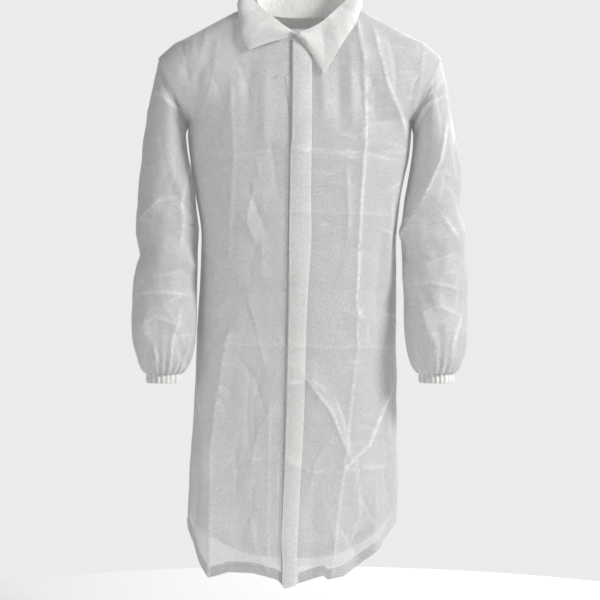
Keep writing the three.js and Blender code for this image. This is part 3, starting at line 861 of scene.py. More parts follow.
def stitch_row(name: str, line: Points, look: Look, pitch: float = 0.0032,
               radius: float = 0.00022) -> Piece:
    """A row of machine stitches along a line that lies on the cloth's face.

    Args:
        name: The piece's name.
        line: Where the stitches run.
        look: The material.
        pitch: Distance from one stitch to the next.
        radius: The thread's radius.

    Returns:
        The piece.
    """
    run = np.linalg.norm(np.diff(line, axis=0), axis=1).sum()
    count = max(2, int(run / pitch))
    places = even_line(line, count * 4 + 1)
    tubes = [swept_tube(places[4 * k: 4 * k + 4], radius, 5) for k in range(count)]
    return thread_piece(name, tubes, look)


# ---- finishes ------------------------------------------------------------------------
def new_group(name: str, inputs: dict[str, float], outputs: tuple[str, ...]) -> tuple:
    """Starts a node group with value inputs and value outputs.

    Args:
        name: The group's name.
        inputs: Input names and their defaults.
        outputs: Output names.

    Returns:
        The group's tree, its input node and its output node.
    """
    tree = bpy.data.node_groups.new(name, "ShaderNodeTree")
    tree.interface.new_socket("Place", in_out="INPUT", socket_type="NodeSocketVector")
    for key, value in inputs.items():
        socket = tree.interface.new_socket(key, in_out="INPUT", socket_type="NodeSocketFloat")
        socket.default_value = value
    for key in outputs:
        tree.interface.new_socket(key, in_out="OUTPUT", socket_type="NodeSocketFloat")
    return tree, tree.nodes.new("NodeGroupInput"), tree.nodes.new("NodeGroupOutput")


def math_of(tree: Tree, kind: str, first: object, second: object,
           clamp: bool = False) -> Socket:
    """A Math node on two sockets or numbers.

    Args:
        tree: Where the nodes go.
        kind: The Math node's operation.
        first: The first socket or number.
        second: The second socket or number.
        clamp: Whether to hold the result from 0 to 1.

    Returns:
        The node's output.
    """
    node = tree.nodes.new("ShaderNodeMath")
    node.operation = kind
    node.use_clamp = clamp
    for socket, value in zip(node.inputs, (first, second)):
        if isinstance(value, (int, float)):
            socket.default_value = value
        else:
            tree.links.new(value, socket)
    return node.outputs[0]


def spread_of(tree: Tree, value: Socket, span: tuple[float, float, float, float]) -> Socket:
    """A Map Range node: from the first two numbers of span to the last two.

    Args:
        tree: Where the nodes go.
        value: What is mapped.
        span: The four ends of the two ranges.

    Returns:
        The node's output.
    """
    node = tree.nodes.new("ShaderNodeMapRange")
    tree.links.new(value, node.inputs["Value"])
    for key, number in zip(("From Min", "From Max", "To Min", "To Max"), span):
        node.inputs[key].default_value = number
    return node.outputs["Result"]


def noise_of(tree: Tree, place: Socket, scale: float, detail: float) -> Socket:
    """A Noise texture's value.

    Args:
        tree: Where the nodes go.
        place: Where the noise is read.
        scale: How fine it is.
        detail: How many finer octaves it has.

    Returns:
        A value socket.
    """
    node = tree.nodes.new("ShaderNodeTexNoise")
    tree.links.new(place, node.inputs["Vector"])
    node.inputs["Scale"].default_value = scale
    node.inputs["Detail"].default_value = detail
    return node.outputs["Fac"]


def cloth_nodes(tree: Tree, groups: dict[str, Tree], effect: str) -> bpy.types.Node:
    """A shared effect's node, fed with the place in the flat cloth.

    Args:
        tree: Where the nodes go.
        groups: The shared effects by name.
        effect: Which effect.

    Returns:
        The effect's node.
    """
    place = tree.nodes.new("ShaderNodeAttribute")
    place.attribute_name = "cut"
    node = tree.nodes.new("ShaderNodeGroup")
    node.node_tree = groups[effect]
    tree.links.new(place.outputs["Vector"], node.inputs["Place"])
    return node


def blend_of(tree: Tree, factor: Socket, first: object,
             second: tuple[float, float, float]) -> Socket:
    """A colour between the first, which may be a socket, and the second.

    Args:
        tree: Where the nodes go.
        factor: Share of the second colour.
        first: A colour or a socket.
        second: A colour.

    Returns:
        The mixed colour.
    """
    node = tree.nodes.new("ShaderNodeMix")
    node.data_type = "RGBA"
    tree.links.new(factor, node.inputs["Factor"])
    if isinstance(first, tuple):
        node.inputs["A"].default_value = (*first, 1)
    else:
        tree.links.new(first, node.inputs["A"])
    node.inputs["B"].default_value = (*second, 1)
    return node.outputs["Result"]


def relief(tree: Tree, shader: bpy.types.Node, height: Socket,
           strength: float, distance: float) -> None:
    """Bumps the shader's surface by a height.

    Args:
        tree: Where the nodes go.
        shader: The shader that is bumped.
        height: The height that bumps it.
        strength: How strong the relief is.
        distance: Its depth in metres.
    """
    bump = tree.nodes.new("ShaderNodeBump")
    bump.inputs["Strength"].default_value = strength
    bump.inputs["Distance"].default_value = distance
    tree.links.new(height, bump.inputs["Height"])
    tree.links.new(bump.outputs["Normal"], shader.inputs["Normal"])


def web_group() -> Tree:
    """The spunbond web: clouds of fibre, single fibres and rows of bond points.

    Returns:
        A group that puts out Clouds, Fibres, Bonds and Height.
    """
    tree, enter, leave = new_group(
        "spunbond_web", {"Bond pitch": 900.0}, ("Clouds", "Fibres", "Bonds", "Height")
    )
    place = enter.outputs["Place"]
    clouds = noise_of(tree, place, 170.0, 3.0)
    stretch = tree.nodes.new("ShaderNodeVectorMath")
    stretch.operation = "MULTIPLY"
    stretch.inputs[1].default_value = (1.0, 0.28, 1.0)
    tree.links.new(place, stretch.inputs[0])
    fibres = noise_of(tree, stretch.outputs[0], 1300.0, 2.0)
    split = tree.nodes.new("ShaderNodeSeparateXYZ")
    tree.links.new(place, split.inputs[0])
    plus = math_of(tree, "ADD", split.outputs[0], split.outputs[1])
    less = math_of(tree, "SUBTRACT", split.outputs[0], split.outputs[1])
    pitch = enter.outputs["Bond pitch"]
    waves = [
        math_of(tree, "COSINE", math_of(tree, "MULTIPLY", way, pitch), 0.0) for way in (plus, less)
    ]
    product = math_of(tree, "MULTIPLY", waves[0], waves[1])
    bonds = spread_of(tree, product, (0.35, 0.85, 0.0, 1.0))
    rough = math_of(tree, "MULTIPLY", fibres, 0.5)
    pits = math_of(tree, "MULTIPLY", bonds, -0.5)
    height = math_of(tree, "ADD", rough, pits)
    for key, value in zip(("Clouds", "Fibres", "Bonds", "Height"), (clouds, fibres, bonds, height)):
        tree.links.new(value, leave.inputs[key])
    return tree


def crease_highlight_group() -> Tree:
    """Painted highlight along creases, broken up by the web.

    Returns:
        A group that puts out the painted highlight.
    """
    tree, enter, leave = new_group("crease_whitening", {"Crease": 0.0}, ("Painted highlight",))
    patches = noise_of(tree, enter.outputs["Place"], 120.0, 2.0)
    strength = spread_of(tree, patches, (0.3, 0.6, 0.45, 1.0))
    painted_highlight = math_of(tree, "MULTIPLY", enter.outputs["Crease"], strength, True)
    tree.links.new(painted_highlight, leave.inputs["Painted highlight"])
    return tree


@dataclass(frozen=True)
class NonwovenFinish:
    """Polypropylene spunbond: thin, matt, cloudy and translucent."""

    name: str
    thin: tuple[float, float, float] = (0.625, 0.64, 0.63)
    thick: tuple[float, float, float] = (0.69, 0.70, 0.685)
    # colour of the painted highlight along creases
    highlight_colour: tuple[float, float, float] = (0.95, 0.95, 0.93)
    cover: float = 0.34
    cloudiness: float = 0.035
    # extra cover where the painted highlight along creases lies
    crease_cover: float = 0.42
    slant_cover: float = 0.55
    sheen: float = 0.25
    roughness: float = 0.62

    def make(self, groups: dict[str, Tree]) -> Look:
        """Builds the material.

        Args:
            groups: The shared effects by name.

        Returns:
            The material.
        """
        material = bpy.data.materials.new(self.name)
        material.use_nodes = True
        tree = material.node_tree
        shader = tree.nodes["Principled BSDF"]
        shader.inputs["Sheen Weight"].default_value = self.sheen
        shader.inputs["Sheen Roughness"].default_value = 0.5
        shader.inputs["Specular IOR Level"].default_value = 0.35
        # reads the painted highlight along creases
        crease = tree.nodes.new("ShaderNodeAttribute")
        crease.attribute_name = "painted_highlight"
        web = cloth_nodes(tree, groups, "web")
        white = cloth_nodes(tree, groups, "crease")
        tree.links.new(crease.outputs["Fac"], white.inputs["Crease"])
        painted_highlights = white.outputs["Painted highlight"]
        cloud = spread_of(tree, web.outputs["Clouds"], (0.32, 0.68, 0.0, 1.0))
        colour = blend_of(tree, cloud, self.thin, self.thick)
        # base colour lightened towards the painted highlight colour along creases
        tree.links.new(blend_of(tree, painted_highlights, colour, self.highlight_colour), shader.inputs["Base Color"])
        low, high = self.cover - self.cloudiness, self.cover + self.cloudiness
        body = spread_of(tree, web.outputs["Clouds"], (0.3, 0.7, low, high))
        fibre = spread_of(tree, web.outputs["Fibres"], (0.3, 0.7, -0.05, 0.05))
        holes = math_of(tree, "MULTIPLY", web.outputs["Bonds"], -0.06)
        added = math_of(tree, "MULTIPLY", painted_highlights, self.crease_cover)
        strands = math_of(tree, "ADD", body, fibre)
        cover = math_of(tree, "ADD", strands, math_of(tree, "ADD", holes, added))
        slant = tree.nodes.new("ShaderNodeLayerWeight")
        slant.inputs["Blend"].default_value = 0.5
        slanted = math_of(tree, "POWER", slant.outputs["Facing"], 1.6)
        edge = math_of(tree, "MULTIPLY", slanted, self.slant_cover)
        alpha = math_of(tree, "MINIMUM", math_of(tree, "ADD", cover, edge), 1.0)
        tree.links.new(alpha, shader.inputs["Alpha"])
        smooth = self.roughness - 0.2
        rough = spread_of(tree, web.outputs["Bonds"], (0.0, 1.0, self.roughness, smooth))
        tree.links.new(rough, shader.inputs["Roughness"])
        relief(tree, shader, web.outputs["Height"], 0.35, 0.0004)
        return material


class Twist(Enum):
    """How the strands of a trim run."""

    THREAD = 2600.0
    ELASTIC = 1500.0
    HOOK = 3000.0
    LOOP = 4200.0


@dataclass(frozen=True)
class TrimFinish:
    """Thread, elastic and fastener tape: opaque, with fine strands."""

    name: str
    twist: Twist
    dark: tuple[float, float, float]
    light: tuple[float, float, float]
    roughness: float

    def make(self, groups: dict[str, Tree]) -> Look:
        """Builds the material.

        Args:
            groups: The shared effects by name.

        Returns:
            The material.
        """
        material = bpy.data.materials.new(self.name)
        material.use_nodes = True
        tree = material.node_tree
        shader = tree.nodes["Principled BSDF"]
        shader.inputs["Sheen Weight"].default_value = 0.15
        web = cloth_nodes(tree, groups, "web")
        web.inputs["Bond pitch"].default_value = self.twist.value
        colour = blend_of(tree, web.outputs["Fibres"], self.dark, self.light)
        tree.links.new(colour, shader.inputs["Base Color"])
        rough = spread_of(tree, web.outputs["Clouds"],
                          (0.3, 0.7, self.roughness - 0.08, self.roughness + 0.08))
        tree.links.new(rough, shader.inputs["Roughness"])
        relief(tree, shader, web.outputs["Height"], 0.5, 0.0003)
        return material


@dataclass
class Finishes:
    """Every material of the coat, made once."""

    cloth: Look = field(init=False)
    doubled: Look = field(init=False)
    collar: Look = field(init=False)
    thread: Look = field(init=False)
    elastic: Look = field(init=False)
    hook: Look = field(init=False)
    loop: Look = field(init=False)

    def __post_init__(self) -> None:
        """Builds the groups and the materials."""
        groups = {"web": web_group(), "crease": crease_highlight_group()}
        self.cloth = NonwovenFinish("nonwoven").make(groups)
        warm = (0.88, 0.87, 0.85)
        bright = (0.95, 0.94, 0.92)
        self.doubled, self.collar = (
            NonwovenFinish(name, thin=warm, thick=bright, cover=0.64).make(groups)
            for name in ("nonwoven_doubled", "nonwoven_collar")
        )
        white, shade = (0.90, 0.90, 0.88), (0.74, 0.74, 0.72)
        self.thread = TrimFinish("overlock_thread", Twist.THREAD, shade, white, 0.6).make(groups)
        self.elastic = TrimFinish(
            "elastic_band", Twist.ELASTIC, (0.70, 0.67, 0.60), (0.86, 0.83, 0.77), 0.65
        ).make(groups)
        self.hook = TrimFinish("hook_tape", Twist.HOOK, shade, (0.86, 0.86, 0.85), 0.45).make(groups)
        self.loop = TrimFinish("loop_tape", Twist.LOOP, shade, white, 0.9).make(groups)


# ---- baking the fronts' pieces in place ----------------------------------------------
@dataclass(frozen=True)
class Swing:
    """Sizes of a band of a front, from the fixed cloth to its free edge; apply only bakes a piece in
    place.
    """

    start: tuple[float, float] = (0.0, 0.075)
    foot: tuple[float, float] = (0.195, 1.095)
    width: float = 0.080

    def apply(self, piece: Piece, side: Side) -> None:
        """Bakes a piece's transform into its mesh.

        Args:
            piece: The piece.
            side: The wearer's side; not used.
        """
        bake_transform(piece)


SWING = Swing()


# ---- the body's panels ---------------------------------------------------------------
def panel_drops(top: Points, foot: Points, shape: CoatShape, upper: int, lower: int) -> Points:
    """Drops of a panel's rows under each column.

    Args:
        top: Where each column starts.
        foot: Where each column ends.
        shape: The coat's sizes.
        upper: Rows above the shoulder tips' level.
        lower: Rows below it.

    Returns:
        Rows by columns of drops.
    """
    share = (np.arange(upper) / upper) ** 1.8
    high = top[None] + (shape.shoulder_drop - top[None]) * share[:, None]
    rest = (foot - shape.shoulder_drop)[None]
    low = shape.shoulder_drop + rest * np.linspace(0, 1, lower)[:, None]
    return np.concatenate([high, low])


def turn_levels(hem: float) -> tuple[tuple[float, float], ...]:
    """Heights over the hem's fold, and lifts off the cloth, of a turned-up ply's rows."""
    return ((hem, TURN_LIFT), (hem * 0.5, TURN_LIFT), (0.0012, TURN_LIFT),
            (-0.0008, TURN_LIFT / 2), (0.0004, 0.0008))


@dataclass
class BackPanel:
    """The back: one sheet from the shoulders to the hem, with its turned-up hem."""

    finishes: Finishes
    drape: Drape = DRAPE
    columns: int = 121
    upper_rows: int = 22
    lower_rows: int = 190
    hem: float = corner("back_hem", True).z - corner("back_hem", False).z
    turn_share: float = 0.992  # width of the turned-up ply over the back's
    stitch_share: float = 0.985
    hem_lift: float = 0.016  # the hem's middle over the coat's full length
    hem_arc: float = 0.103  # and its sides over its middle

    def foot(self, x: Points) -> Points:
        """Drop of the back's hem, which dips a little at the middle."""
        arc = self.hem_arc * np.abs(x / SHAPE.hem_half) ** 3
        return SHAPE.length - self.hem_lift - arc

    def build(self) -> list[Piece]:
        """Builds the back's pieces.

        Returns:
            The pieces.
        """
        u = np.sin(np.linspace(-math.pi / 2, math.pi / 2, self.columns))
        shape = self.drape.shape
        top_x = u * shape.shoulder_half
        top = shape.top_edge(top_x, Face.BACK)
        foot = self.foot(u * shape.hem_half)
        drop = panel_drops(top, foot, shape, self.upper_rows, self.lower_rows)
        x = u[None] * shape.panel_edge(drop)
        grid = self.drape.points(x, drop, Face.BACK)[:, ::-1]
        _, painted_highlight = self.drape.heights(x, drop, Face.BACK)
        base = shape.base(x, drop, Face.BACK)
        cloth = Ply("back_cloth", grid, self.finishes.cloth, painted_highlight[:, ::-1]).make()
        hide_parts("back_panel")
        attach(cloth, BODY)
        hem, stitches = self.build_hem(u)
        return [cloth, hem, stitches]

    def build_hem(self, u: Points) -> tuple[Piece, Piece]:
        """Builds the turned-up ply and its stitches.

        Args:
            u: Share of the way across, for each column.

        Returns:
            The ply and its stitches.
        """
        shape = self.drape.shape
        foot = self.foot(u * shape.hem_half)
        rows = []
        for up, lift in turn_levels(self.hem):
            x = u * self.turn_share * shape.panel_edge(foot - up)
            rows.append(self.drape.points(x, foot - up, Face.BACK, lift))
        grid = np.array(rows)[:, ::-1]
        hem = Ply("back_hem_turn", grid, self.finishes.doubled).make()
        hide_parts("back_hem")
        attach(hem, BODY)
        drop = foot - self.hem + SEW_MARGIN
        x = u * self.stitch_share * shape.panel_edge(drop)
        line = self.drape.points(x, drop, Face.BACK, SEW_LIFT)
        stitches = stitch_row("back_hem_stitches", line, self.finishes.thread)
        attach(stitches, BODY)
        return hem, stitches


@dataclass(frozen=True)
class Placket:
    """Places of the covered front edge, shared by the fronts and the closures."""

    shape: CoatShape = SHAPE
    width: float = 0.034
    overlap: float = 0.012
    underlap: float = 0.005
    underlap_cut: float = 0.009
    cut_length: float = 0.085
    opening_drop: float = 0.152
    facing_width: float = 0.024
    tuck: float = 0.002

    def flap_start(self, drop: Points) -> Points:
        """The flap's free edge, with the jog and the bulge it hangs in.

        Args:
            drop: Places down.

        Returns:
            X of the edge.
        """
        jog = 0.0028 * ease(drop, 0.262, 0.292) - 0.0020 * ease(drop, 0.43, 0.56)
        tail = -0.0055 * ease(drop, 0.74, 1.08) + 0.003 * ease(drop, 0.99, 1.05)
        return self.shape.centre(drop) - self.overlap - jog + tail

    def flap_end(self, drop: Points) -> Points:
        """The flap's sewn edge.

        Args:
            drop: Places down.

        Returns:
            X of the edge.
        """
        bulge = 0.0022 * np.exp(-(((drop - 0.445) / 0.05) ** 2))
        narrow = 0.0035 * ease(drop, 0.46, 0.62) + 0.009 * ease(drop, 0.72, 1.08)
        return self.shape.centre(drop) - self.overlap + self.width + bulge - narrow

    def under_edge(self, drop: Points) -> Points:
        """The right front's edge, under the flap.

        Args:
            drop: Places down.

        Returns:
            X of the edge.
        """
        cut_end = self.opening_drop + self.cut_length
        cut = self.underlap_cut * (1 - ease(drop, self.opening_drop, cut_end))
        cut = np.where(np.asarray(drop) <= self.opening_drop, 0.0, cut)
        return self.shape.centre(drop) + self.underlap - cut


PLACKET = Placket()


def front_foot(x: Points) -> Points:
    """Drop of the fronts' hem: level at the left, lowest at the placket, with a notch."""
    stops = ((-0.207, 0.966), (-0.197, 0.990), (-0.182, 1.020), (-0.166, 1.047), (-0.150, 1.067),
             (-0.120, 1.056), (-0.075, 1.056), (-0.030, 1.067), (-0.016, 1.081), (0.010, 1.074),
             (0.058, 1.060), (0.066, 1.067),
             (0.098, 1.062), (0.131, 1.043), (0.158, 1.022), (0.180, 1.000), (0.197, 0.980),
             (0.207, 0.966))
    return along(stops, x)


@dataclass
class Front:
    """One front, from its edge under the placket to the side seam, with its hem."""

    side: Side
    finishes: Finishes
    drape: Drape = DRAPE
    columns: int = 76
    upper_rows: int = 22
    lower_rows: int = 190
    hem: float = corner("left_front_side_hem", True).z - corner("left_front_side_hem", False).z
    turn_start: float = 0.03  # shares of the front's width at which its turned-up ply starts
    turn_share: float = 0.962  # and that it covers

    def edge(self, drop: Points) -> Points:
        """Where the front ends at the middle, in X."""
        if self.side is Side.RIGHT:
            return PLACKET.under_edge(drop)
        return PLACKET.flap_end(drop) - PLACKET.tuck

    def lattice(self, u: Points) -> tuple[Points, Points]:
        """Places across and down for a front's rows and columns.

        Args:
            u: Share of the way across, for each column.

        Returns:
            Rows by columns of X and of drops.
        """
        shape = self.drape.shape
        sign = self.side.value
        start = self.edge(np.array(0.0))
        top_x = start + (sign * shape.shoulder_half - start) * u
        top = shape.top_edge(top_x, Face.FRONT)
        foot_x = self.edge(np.array(shape.length))
        foot = front_foot(foot_x + (sign * shape.hem_half - foot_x) * u)
        drop = panel_drops(top, foot, shape, self.upper_rows, self.lower_rows)
        edge = self.edge(drop)
        x = edge + (sign * shape.panel_edge(drop) - edge) * u[None]
        return x, drop

    def build(self) -> list[Piece]:
        """Builds the front's pieces.

        Returns:
            The pieces.
        """
        word = self.side.word
        bend = np.linspace(0, 1, self.columns)
        u = 0.45 * bend + 0.55 * np.sin(bend * math.pi / 2)
        x, drop = self.lattice(u)
        grid = self.drape.points(x, drop, Face.FRONT)
        _, painted_highlight = self.drape.heights(x, drop, Face.FRONT)
        base = self.drape.shape.base(x, drop, Face.FRONT)
        if self.side is Side.RIGHT:
            grid, painted_highlight, base = grid[:, ::-1], painted_highlight[:, ::-1], base[:, ::-1]
        cloth = Ply(f"{word}_front_cloth", grid, self.finishes.cloth, painted_highlight).make()
        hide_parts(f"{word}_front_side_panel", f"{word}_front_edge_panel")
        SWING.apply(cloth, self.side)
        hem, stitches = self.build_hem(u)
        return [cloth, hem, stitches]

    def build_hem(self, u: Points) -> tuple[Piece, Piece]:
        """Builds the turned-up ply and its stitches.

        Args:
            u: Share of the way across, for each column.

        Returns:
            The ply and its stitches.
        """
        word = self.side.word
        x, drop = self.lattice(self.turn_start + self.turn_share * u)
        foot_x, foot = x[-1], drop[-1]
        grid = np.array([
            self.drape.points(foot_x, foot - up, Face.FRONT, lift)
            for up, lift in turn_levels(self.hem)
        ])
        if self.side is Side.RIGHT:
            grid = grid[:, ::-1]
        hem = Ply(f"{word}_front_hem_turn", grid, self.finishes.doubled).make()
        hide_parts(f"{word}_front_side_hem", f"{word}_front_edge_hem")
        SWING.apply(hem, self.side)
        line = self.drape.points(foot_x, foot - self.hem + SEW_MARGIN, Face.FRONT, SEW_LIFT)
        stitches = stitch_row(f"{word}_front_hem_stitches", line, self.finishes.thread)
        SWING.apply(stitches, self.side)
        return hem, stitches


@dataclass
class FrontEdges:
    """The folded flap on the left front and the folded facing on the right one."""

    finishes: Finishes
    drape: Drape = DRAPE
    places: Placket = PLACKET
    rows: int = 200
    flap_lift: float = 0.0040
    gap: float = 0.0007
    crown: float = 0.0012
    past_hem: float = 0.002
    below_neck: float = 0.004

    def folded_band(self, drop: Points, free: Points, sewn: Points, low: float,
                    high: float) -> tuple[Points, Points]:
        """A strip folded lengthwise at its free edge.

        Args:
            drop: Drops of the strip's rows.
            free: X of the folded edge.
            sewn: X of the edge that is sewn down.
            low: Distance from the cloth to the under ply.
            high: Distance from the cloth to the top ply.

        Returns:
            Rows by columns of points, from the sewn edge over the top and back below, and
            their painted highlights along creases and the folded edge.
        """
        turn = np.linspace(0, math.pi, 7)
        flat = np.linspace(0, 1, 9)
        middle, half = (low + high) / 2, (high - low) / 2
        shares = np.concatenate([flat[:-1], np.ones(7), flat[::-1][1:]])
        lifts = np.concatenate([np.full(8, high), middle + half * np.cos(turn), np.full(8, low)])
        bulge = np.concatenate([np.zeros(8), half * np.sin(turn), np.zeros(8)])
        x = sewn[:, None] + (free - sewn)[:, None] * shares[None]
        x = x + np.sign(free - sewn)[:, None] * bulge[None]
        crown = self.crown * np.sin(math.pi * shares) ** 0.7
        lift = lifts[None] + np.where(lifts > middle, crown, 0.0)[None]
        reach = (front_foot(x[-1]) + self.past_hem - drop[0]) / (drop[-1] - drop[0])
        down = drop[0] + (drop[:, None] - drop[0]) * reach[None]
        _, painted_highlight = self.drape.heights(x, down, Face.FRONT)
        # painted highlight along the folded edge, a lighter line where the fold turns
        edge = np.exp(-(((shares - 1) / 0.05) ** 2))[None]
        return self.drape.points(x, down, Face.FRONT, lift), np.maximum(painted_highlight, 0.6 * edge)

    def build(self) -> list[Piece]:
        """Builds the flap, the facing and their stitches.

        Returns:
            The pieces.
        """
        p = self.places
        top = self.drape.shape.front_neck_drop + self.below_neck
        foot = float(front_foot(np.array(-0.016)))
        drop = np.linspace(top, foot, self.rows)
        band, painted_highlight = self.folded_band(drop, p.flap_start(drop), p.flap_end(drop),
                                      self.flap_lift, self.flap_lift + self.gap + 2 * PLY)
        flap = Ply("placket_flap_cloth", band, self.finishes.doubled, painted_highlight).make()
        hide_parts("left_placket_top", "left_placket_flap")
        self.declare(flap, Side.LEFT)
        inside = -1.2 * PLY
        start = p.under_edge(drop) - p.facing_width
        facing_band, painted_highlight = self.folded_band(drop, p.under_edge(drop), start,
                                             inside - self.gap - 2 * PLY, inside)
        facing = Ply("placket_facing_cloth", facing_band, self.finishes.doubled, painted_highlight).make()
        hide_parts("right_placket_top", "right_placket_facing")
        self.declare(facing, Side.RIGHT)
        return [flap, facing, *self.build_stitches(drop[2:-2])]

    def declare(self, piece: Piece, side: Side) -> None:
        """Bakes a folded band's transform into its mesh."""
        SWING.apply(piece, side)

    def build_stitches(self, drop: Points) -> list[Piece]:
        """Stitches along both edges of the flap.

        Args:
            drop: Drops of the rows.

        Returns:
            The pieces.
        """
        p = self.places
        lift = self.flap_lift + self.gap + 3.6 * PLY
        rows = {
            "placket_edge_stitches": p.flap_start(drop) + SEW_MARGIN,
            "placket_seam_stitches": p.flap_end(drop) - SEW_MARGIN,
        }
        pieces = []
        for name, x in rows.items():
            line = self.drape.points(x, drop, Face.FRONT, lift)
            stitches = stitch_row(name, line, self.finishes.thread)
            SWING.apply(stitches, Side.LEFT)
            pieces.append(stitches)
        return pieces


class Tape(Enum):
    """The two halves of a closure."""

    HOOK = "hook"
    LOOP = "loop"


@dataclass
class Closures:
    """Five pairs of hook and loop tabs hidden between the flap and the right front."""

    finishes: Finishes
    drape: Drape = DRAPE
    count: int = 5
    thickness: float = 0.0009
    hook_lift: float = 0.0009
    loop_lift: float = 0.0024
    pile: float = 0.00022

    def tab_grid(self, node: str, tape: Tape) -> tuple[Points, Points]:
        """Places of a tab's grid: X and drop, with its corners rounded.

        Args:
            node: The tab's CAD node.
            tape: Which half of the closure; not used.

        Returns:
            X and drops of the grid.
        """
        low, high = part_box(node)
        middle = -(low.z + high.z) / 2
        half_height = (high.z - low.z) / 2
        half_width = (high.x - low.x) / 2 * 0.97
        across = np.linspace(-1, 1, 9)[None]
        down = np.linspace(-1, 1, 13)[:, None]
        pull = 1 - 0.16 * np.clip(np.abs(down) - 0.7, 0, 1) ** 2 / 0.09
        x = float(self.drape.shape.centre(middle)) - half_width + across * half_width * pull
        return x, middle + down * half_height + 0 * across

    def build(self) -> list[Piece]:
        """Builds the tabs.

        Returns:
            The pieces.
        """
        pieces = []
        lifts = {Tape.HOOK: self.hook_lift, Tape.LOOP: self.loop_lift}
        owners = {Tape.HOOK: Side.RIGHT, Tape.LOOP: Side.LEFT}
        looks = {Tape.HOOK: self.finishes.hook, Tape.LOOP: self.finishes.loop}
        for tape in Tape:
            for number in range(1, self.count + 1):
                node = f"{tape.value}_tab_{number}"
                x, drop = self.tab_grid(node, tape)
                facing = 1 if tape is Tape.HOOK else -1
                pile = self.pile * np.abs(np.sin(np.arange(x.size).reshape(x.shape) * 2.4))
                grid = self.drape.points(x, drop, Face.FRONT, lifts[tape] + facing * pile)
                tab = Ply(f"{tape.value}_tape_{number}", grid, looks[tape],
                          thickness=self.thickness).make()
                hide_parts(node)
                SWING.apply(tab, owners[tape])
                pieces.append(tab)
        return pieces


@dataclass
class BodySeams:
    """Overlocked seams of the shoulders and sides."""

    finishes: Finishes
    drape: Drape = DRAPE

    def build(self) -> list[Piece]:
        """Builds the seams.

        Returns:
            The pieces.
        """
        shape = self.drape.shape
        pieces = []
        for side in Side:
            x = side.value * np.linspace(shape.neck_half + 0.006, shape.shoulder_half - 0.002, 40)
            drop = shape.shoulder_drop_at(x)
            shoulder = np.stack([x, 0 * x, -drop + 0.0002], -1)
            drop = np.linspace(shape.armpit_drop + 0.003, float(front_foot(np.array(0.207))), 160)
            edge = side.value * shape.panel_edge(drop)
            seam = self.drape.points(edge, drop, Face.FRONT)
            seam = (seam + self.drape.points(edge, drop, Face.BACK)) / 2
            for word, line in (("shoulder", shoulder), ("side", seam)):
                name = f"{side.word}_{word}_overlock"
                bead = overlock(name, line, self.finishes.thread)
                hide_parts(f"{side.word}_{word}_seam")
                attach(bead, BODY)
                pieces.append(bead)
        return pieces


# ---- sleeves -------------------------------------------------------------------------
SLEEVE_FOLDS: dict[Side, tuple[Fold, ...]] = {
    Side.LEFT: (
        pressed(((0.206, 0.208), (0.236, 0.182), (0.27, 0.15)), 0.006, 0.9),
        pressed(((0.212, 0.242), (0.238, 0.201), (0.272, 0.176)), -0.005, 0.8),
        pressed(((0.274, 0.225), (0.261, 0.3), (0.236, 0.359), (0.19, 0.454)), 0.008, 1.0),
        pressed(((0.236, 0.25), (0.222, 0.33), (0.2, 0.4)), -0.0045, 0.3),
        pressed(((0.261, 0.397), (0.29, 0.449)), 0.006, 0.8),
        pressed(((0.19, 0.534), (0.24, 0.528), (0.3, 0.542)), 0.0045, 0.7),
        pressed(((0.196, 0.47), (0.24, 0.49), (0.3, 0.47)), -0.004, 0.3),
        pressed(((0.2, 0.6), (0.25, 0.57), (0.3, 0.59)), 0.005, 0.5),
        pressed(((0.215, 0.56), (0.245, 0.64), (0.24, 0.69)), 0.005, 0.7),
        pressed(((0.298, 0.58), (0.276, 0.64), (0.268, 0.69)), 0.0045, 0.7),
    ),
    Side.RIGHT: (
        pressed(((-0.276, 0.168), (-0.24, 0.196), (-0.206, 0.216)), 0.0075, 0.9),
        pressed(((-0.262, 0.13), (-0.24, 0.165), (-0.214, 0.205)), -0.006, 0.3),
        pressed(((-0.252, 0.366), (-0.296, 0.415)), 0.0065, 0.9),
        pressed(((-0.236, 0.3), (-0.262, 0.36)), -0.004, 0.3),
        pressed(((-0.205, 0.26), (-0.222, 0.38), (-0.218, 0.47)), 0.006, 0.6),
        pressed(((-0.312, 0.549), (-0.25, 0.545), (-0.192, 0.552)), 0.0045, 0.7),
        pressed(((-0.196, 0.5), (-0.25, 0.515), (-0.3, 0.49)), -0.004, 0.3),
        pressed(((-0.3, 0.62), (-0.262, 0.59), (-0.21, 0.61)), 0.0045, 0.5),
        pressed(((-0.292, 0.59), (-0.262, 0.65), (-0.25, 0.69)), 0.005, 0.8),
        pressed(((-0.215, 0.57), (-0.232, 0.64), (-0.238, 0.69)), 0.0045, 0.7),
        pressed(((-0.27, 0.56), (-0.285, 0.64)), 0.0035, 0.6),
    ),
}

SLEEVE_FOLDS[Side.LEFT] += scattered(11, 30, (0.190, 0.310, 0.150, 0.670))
SLEEVE_FOLDS[Side.RIGHT] += scattered(12, 30, (-0.310, -0.190, 0.150, 0.670))


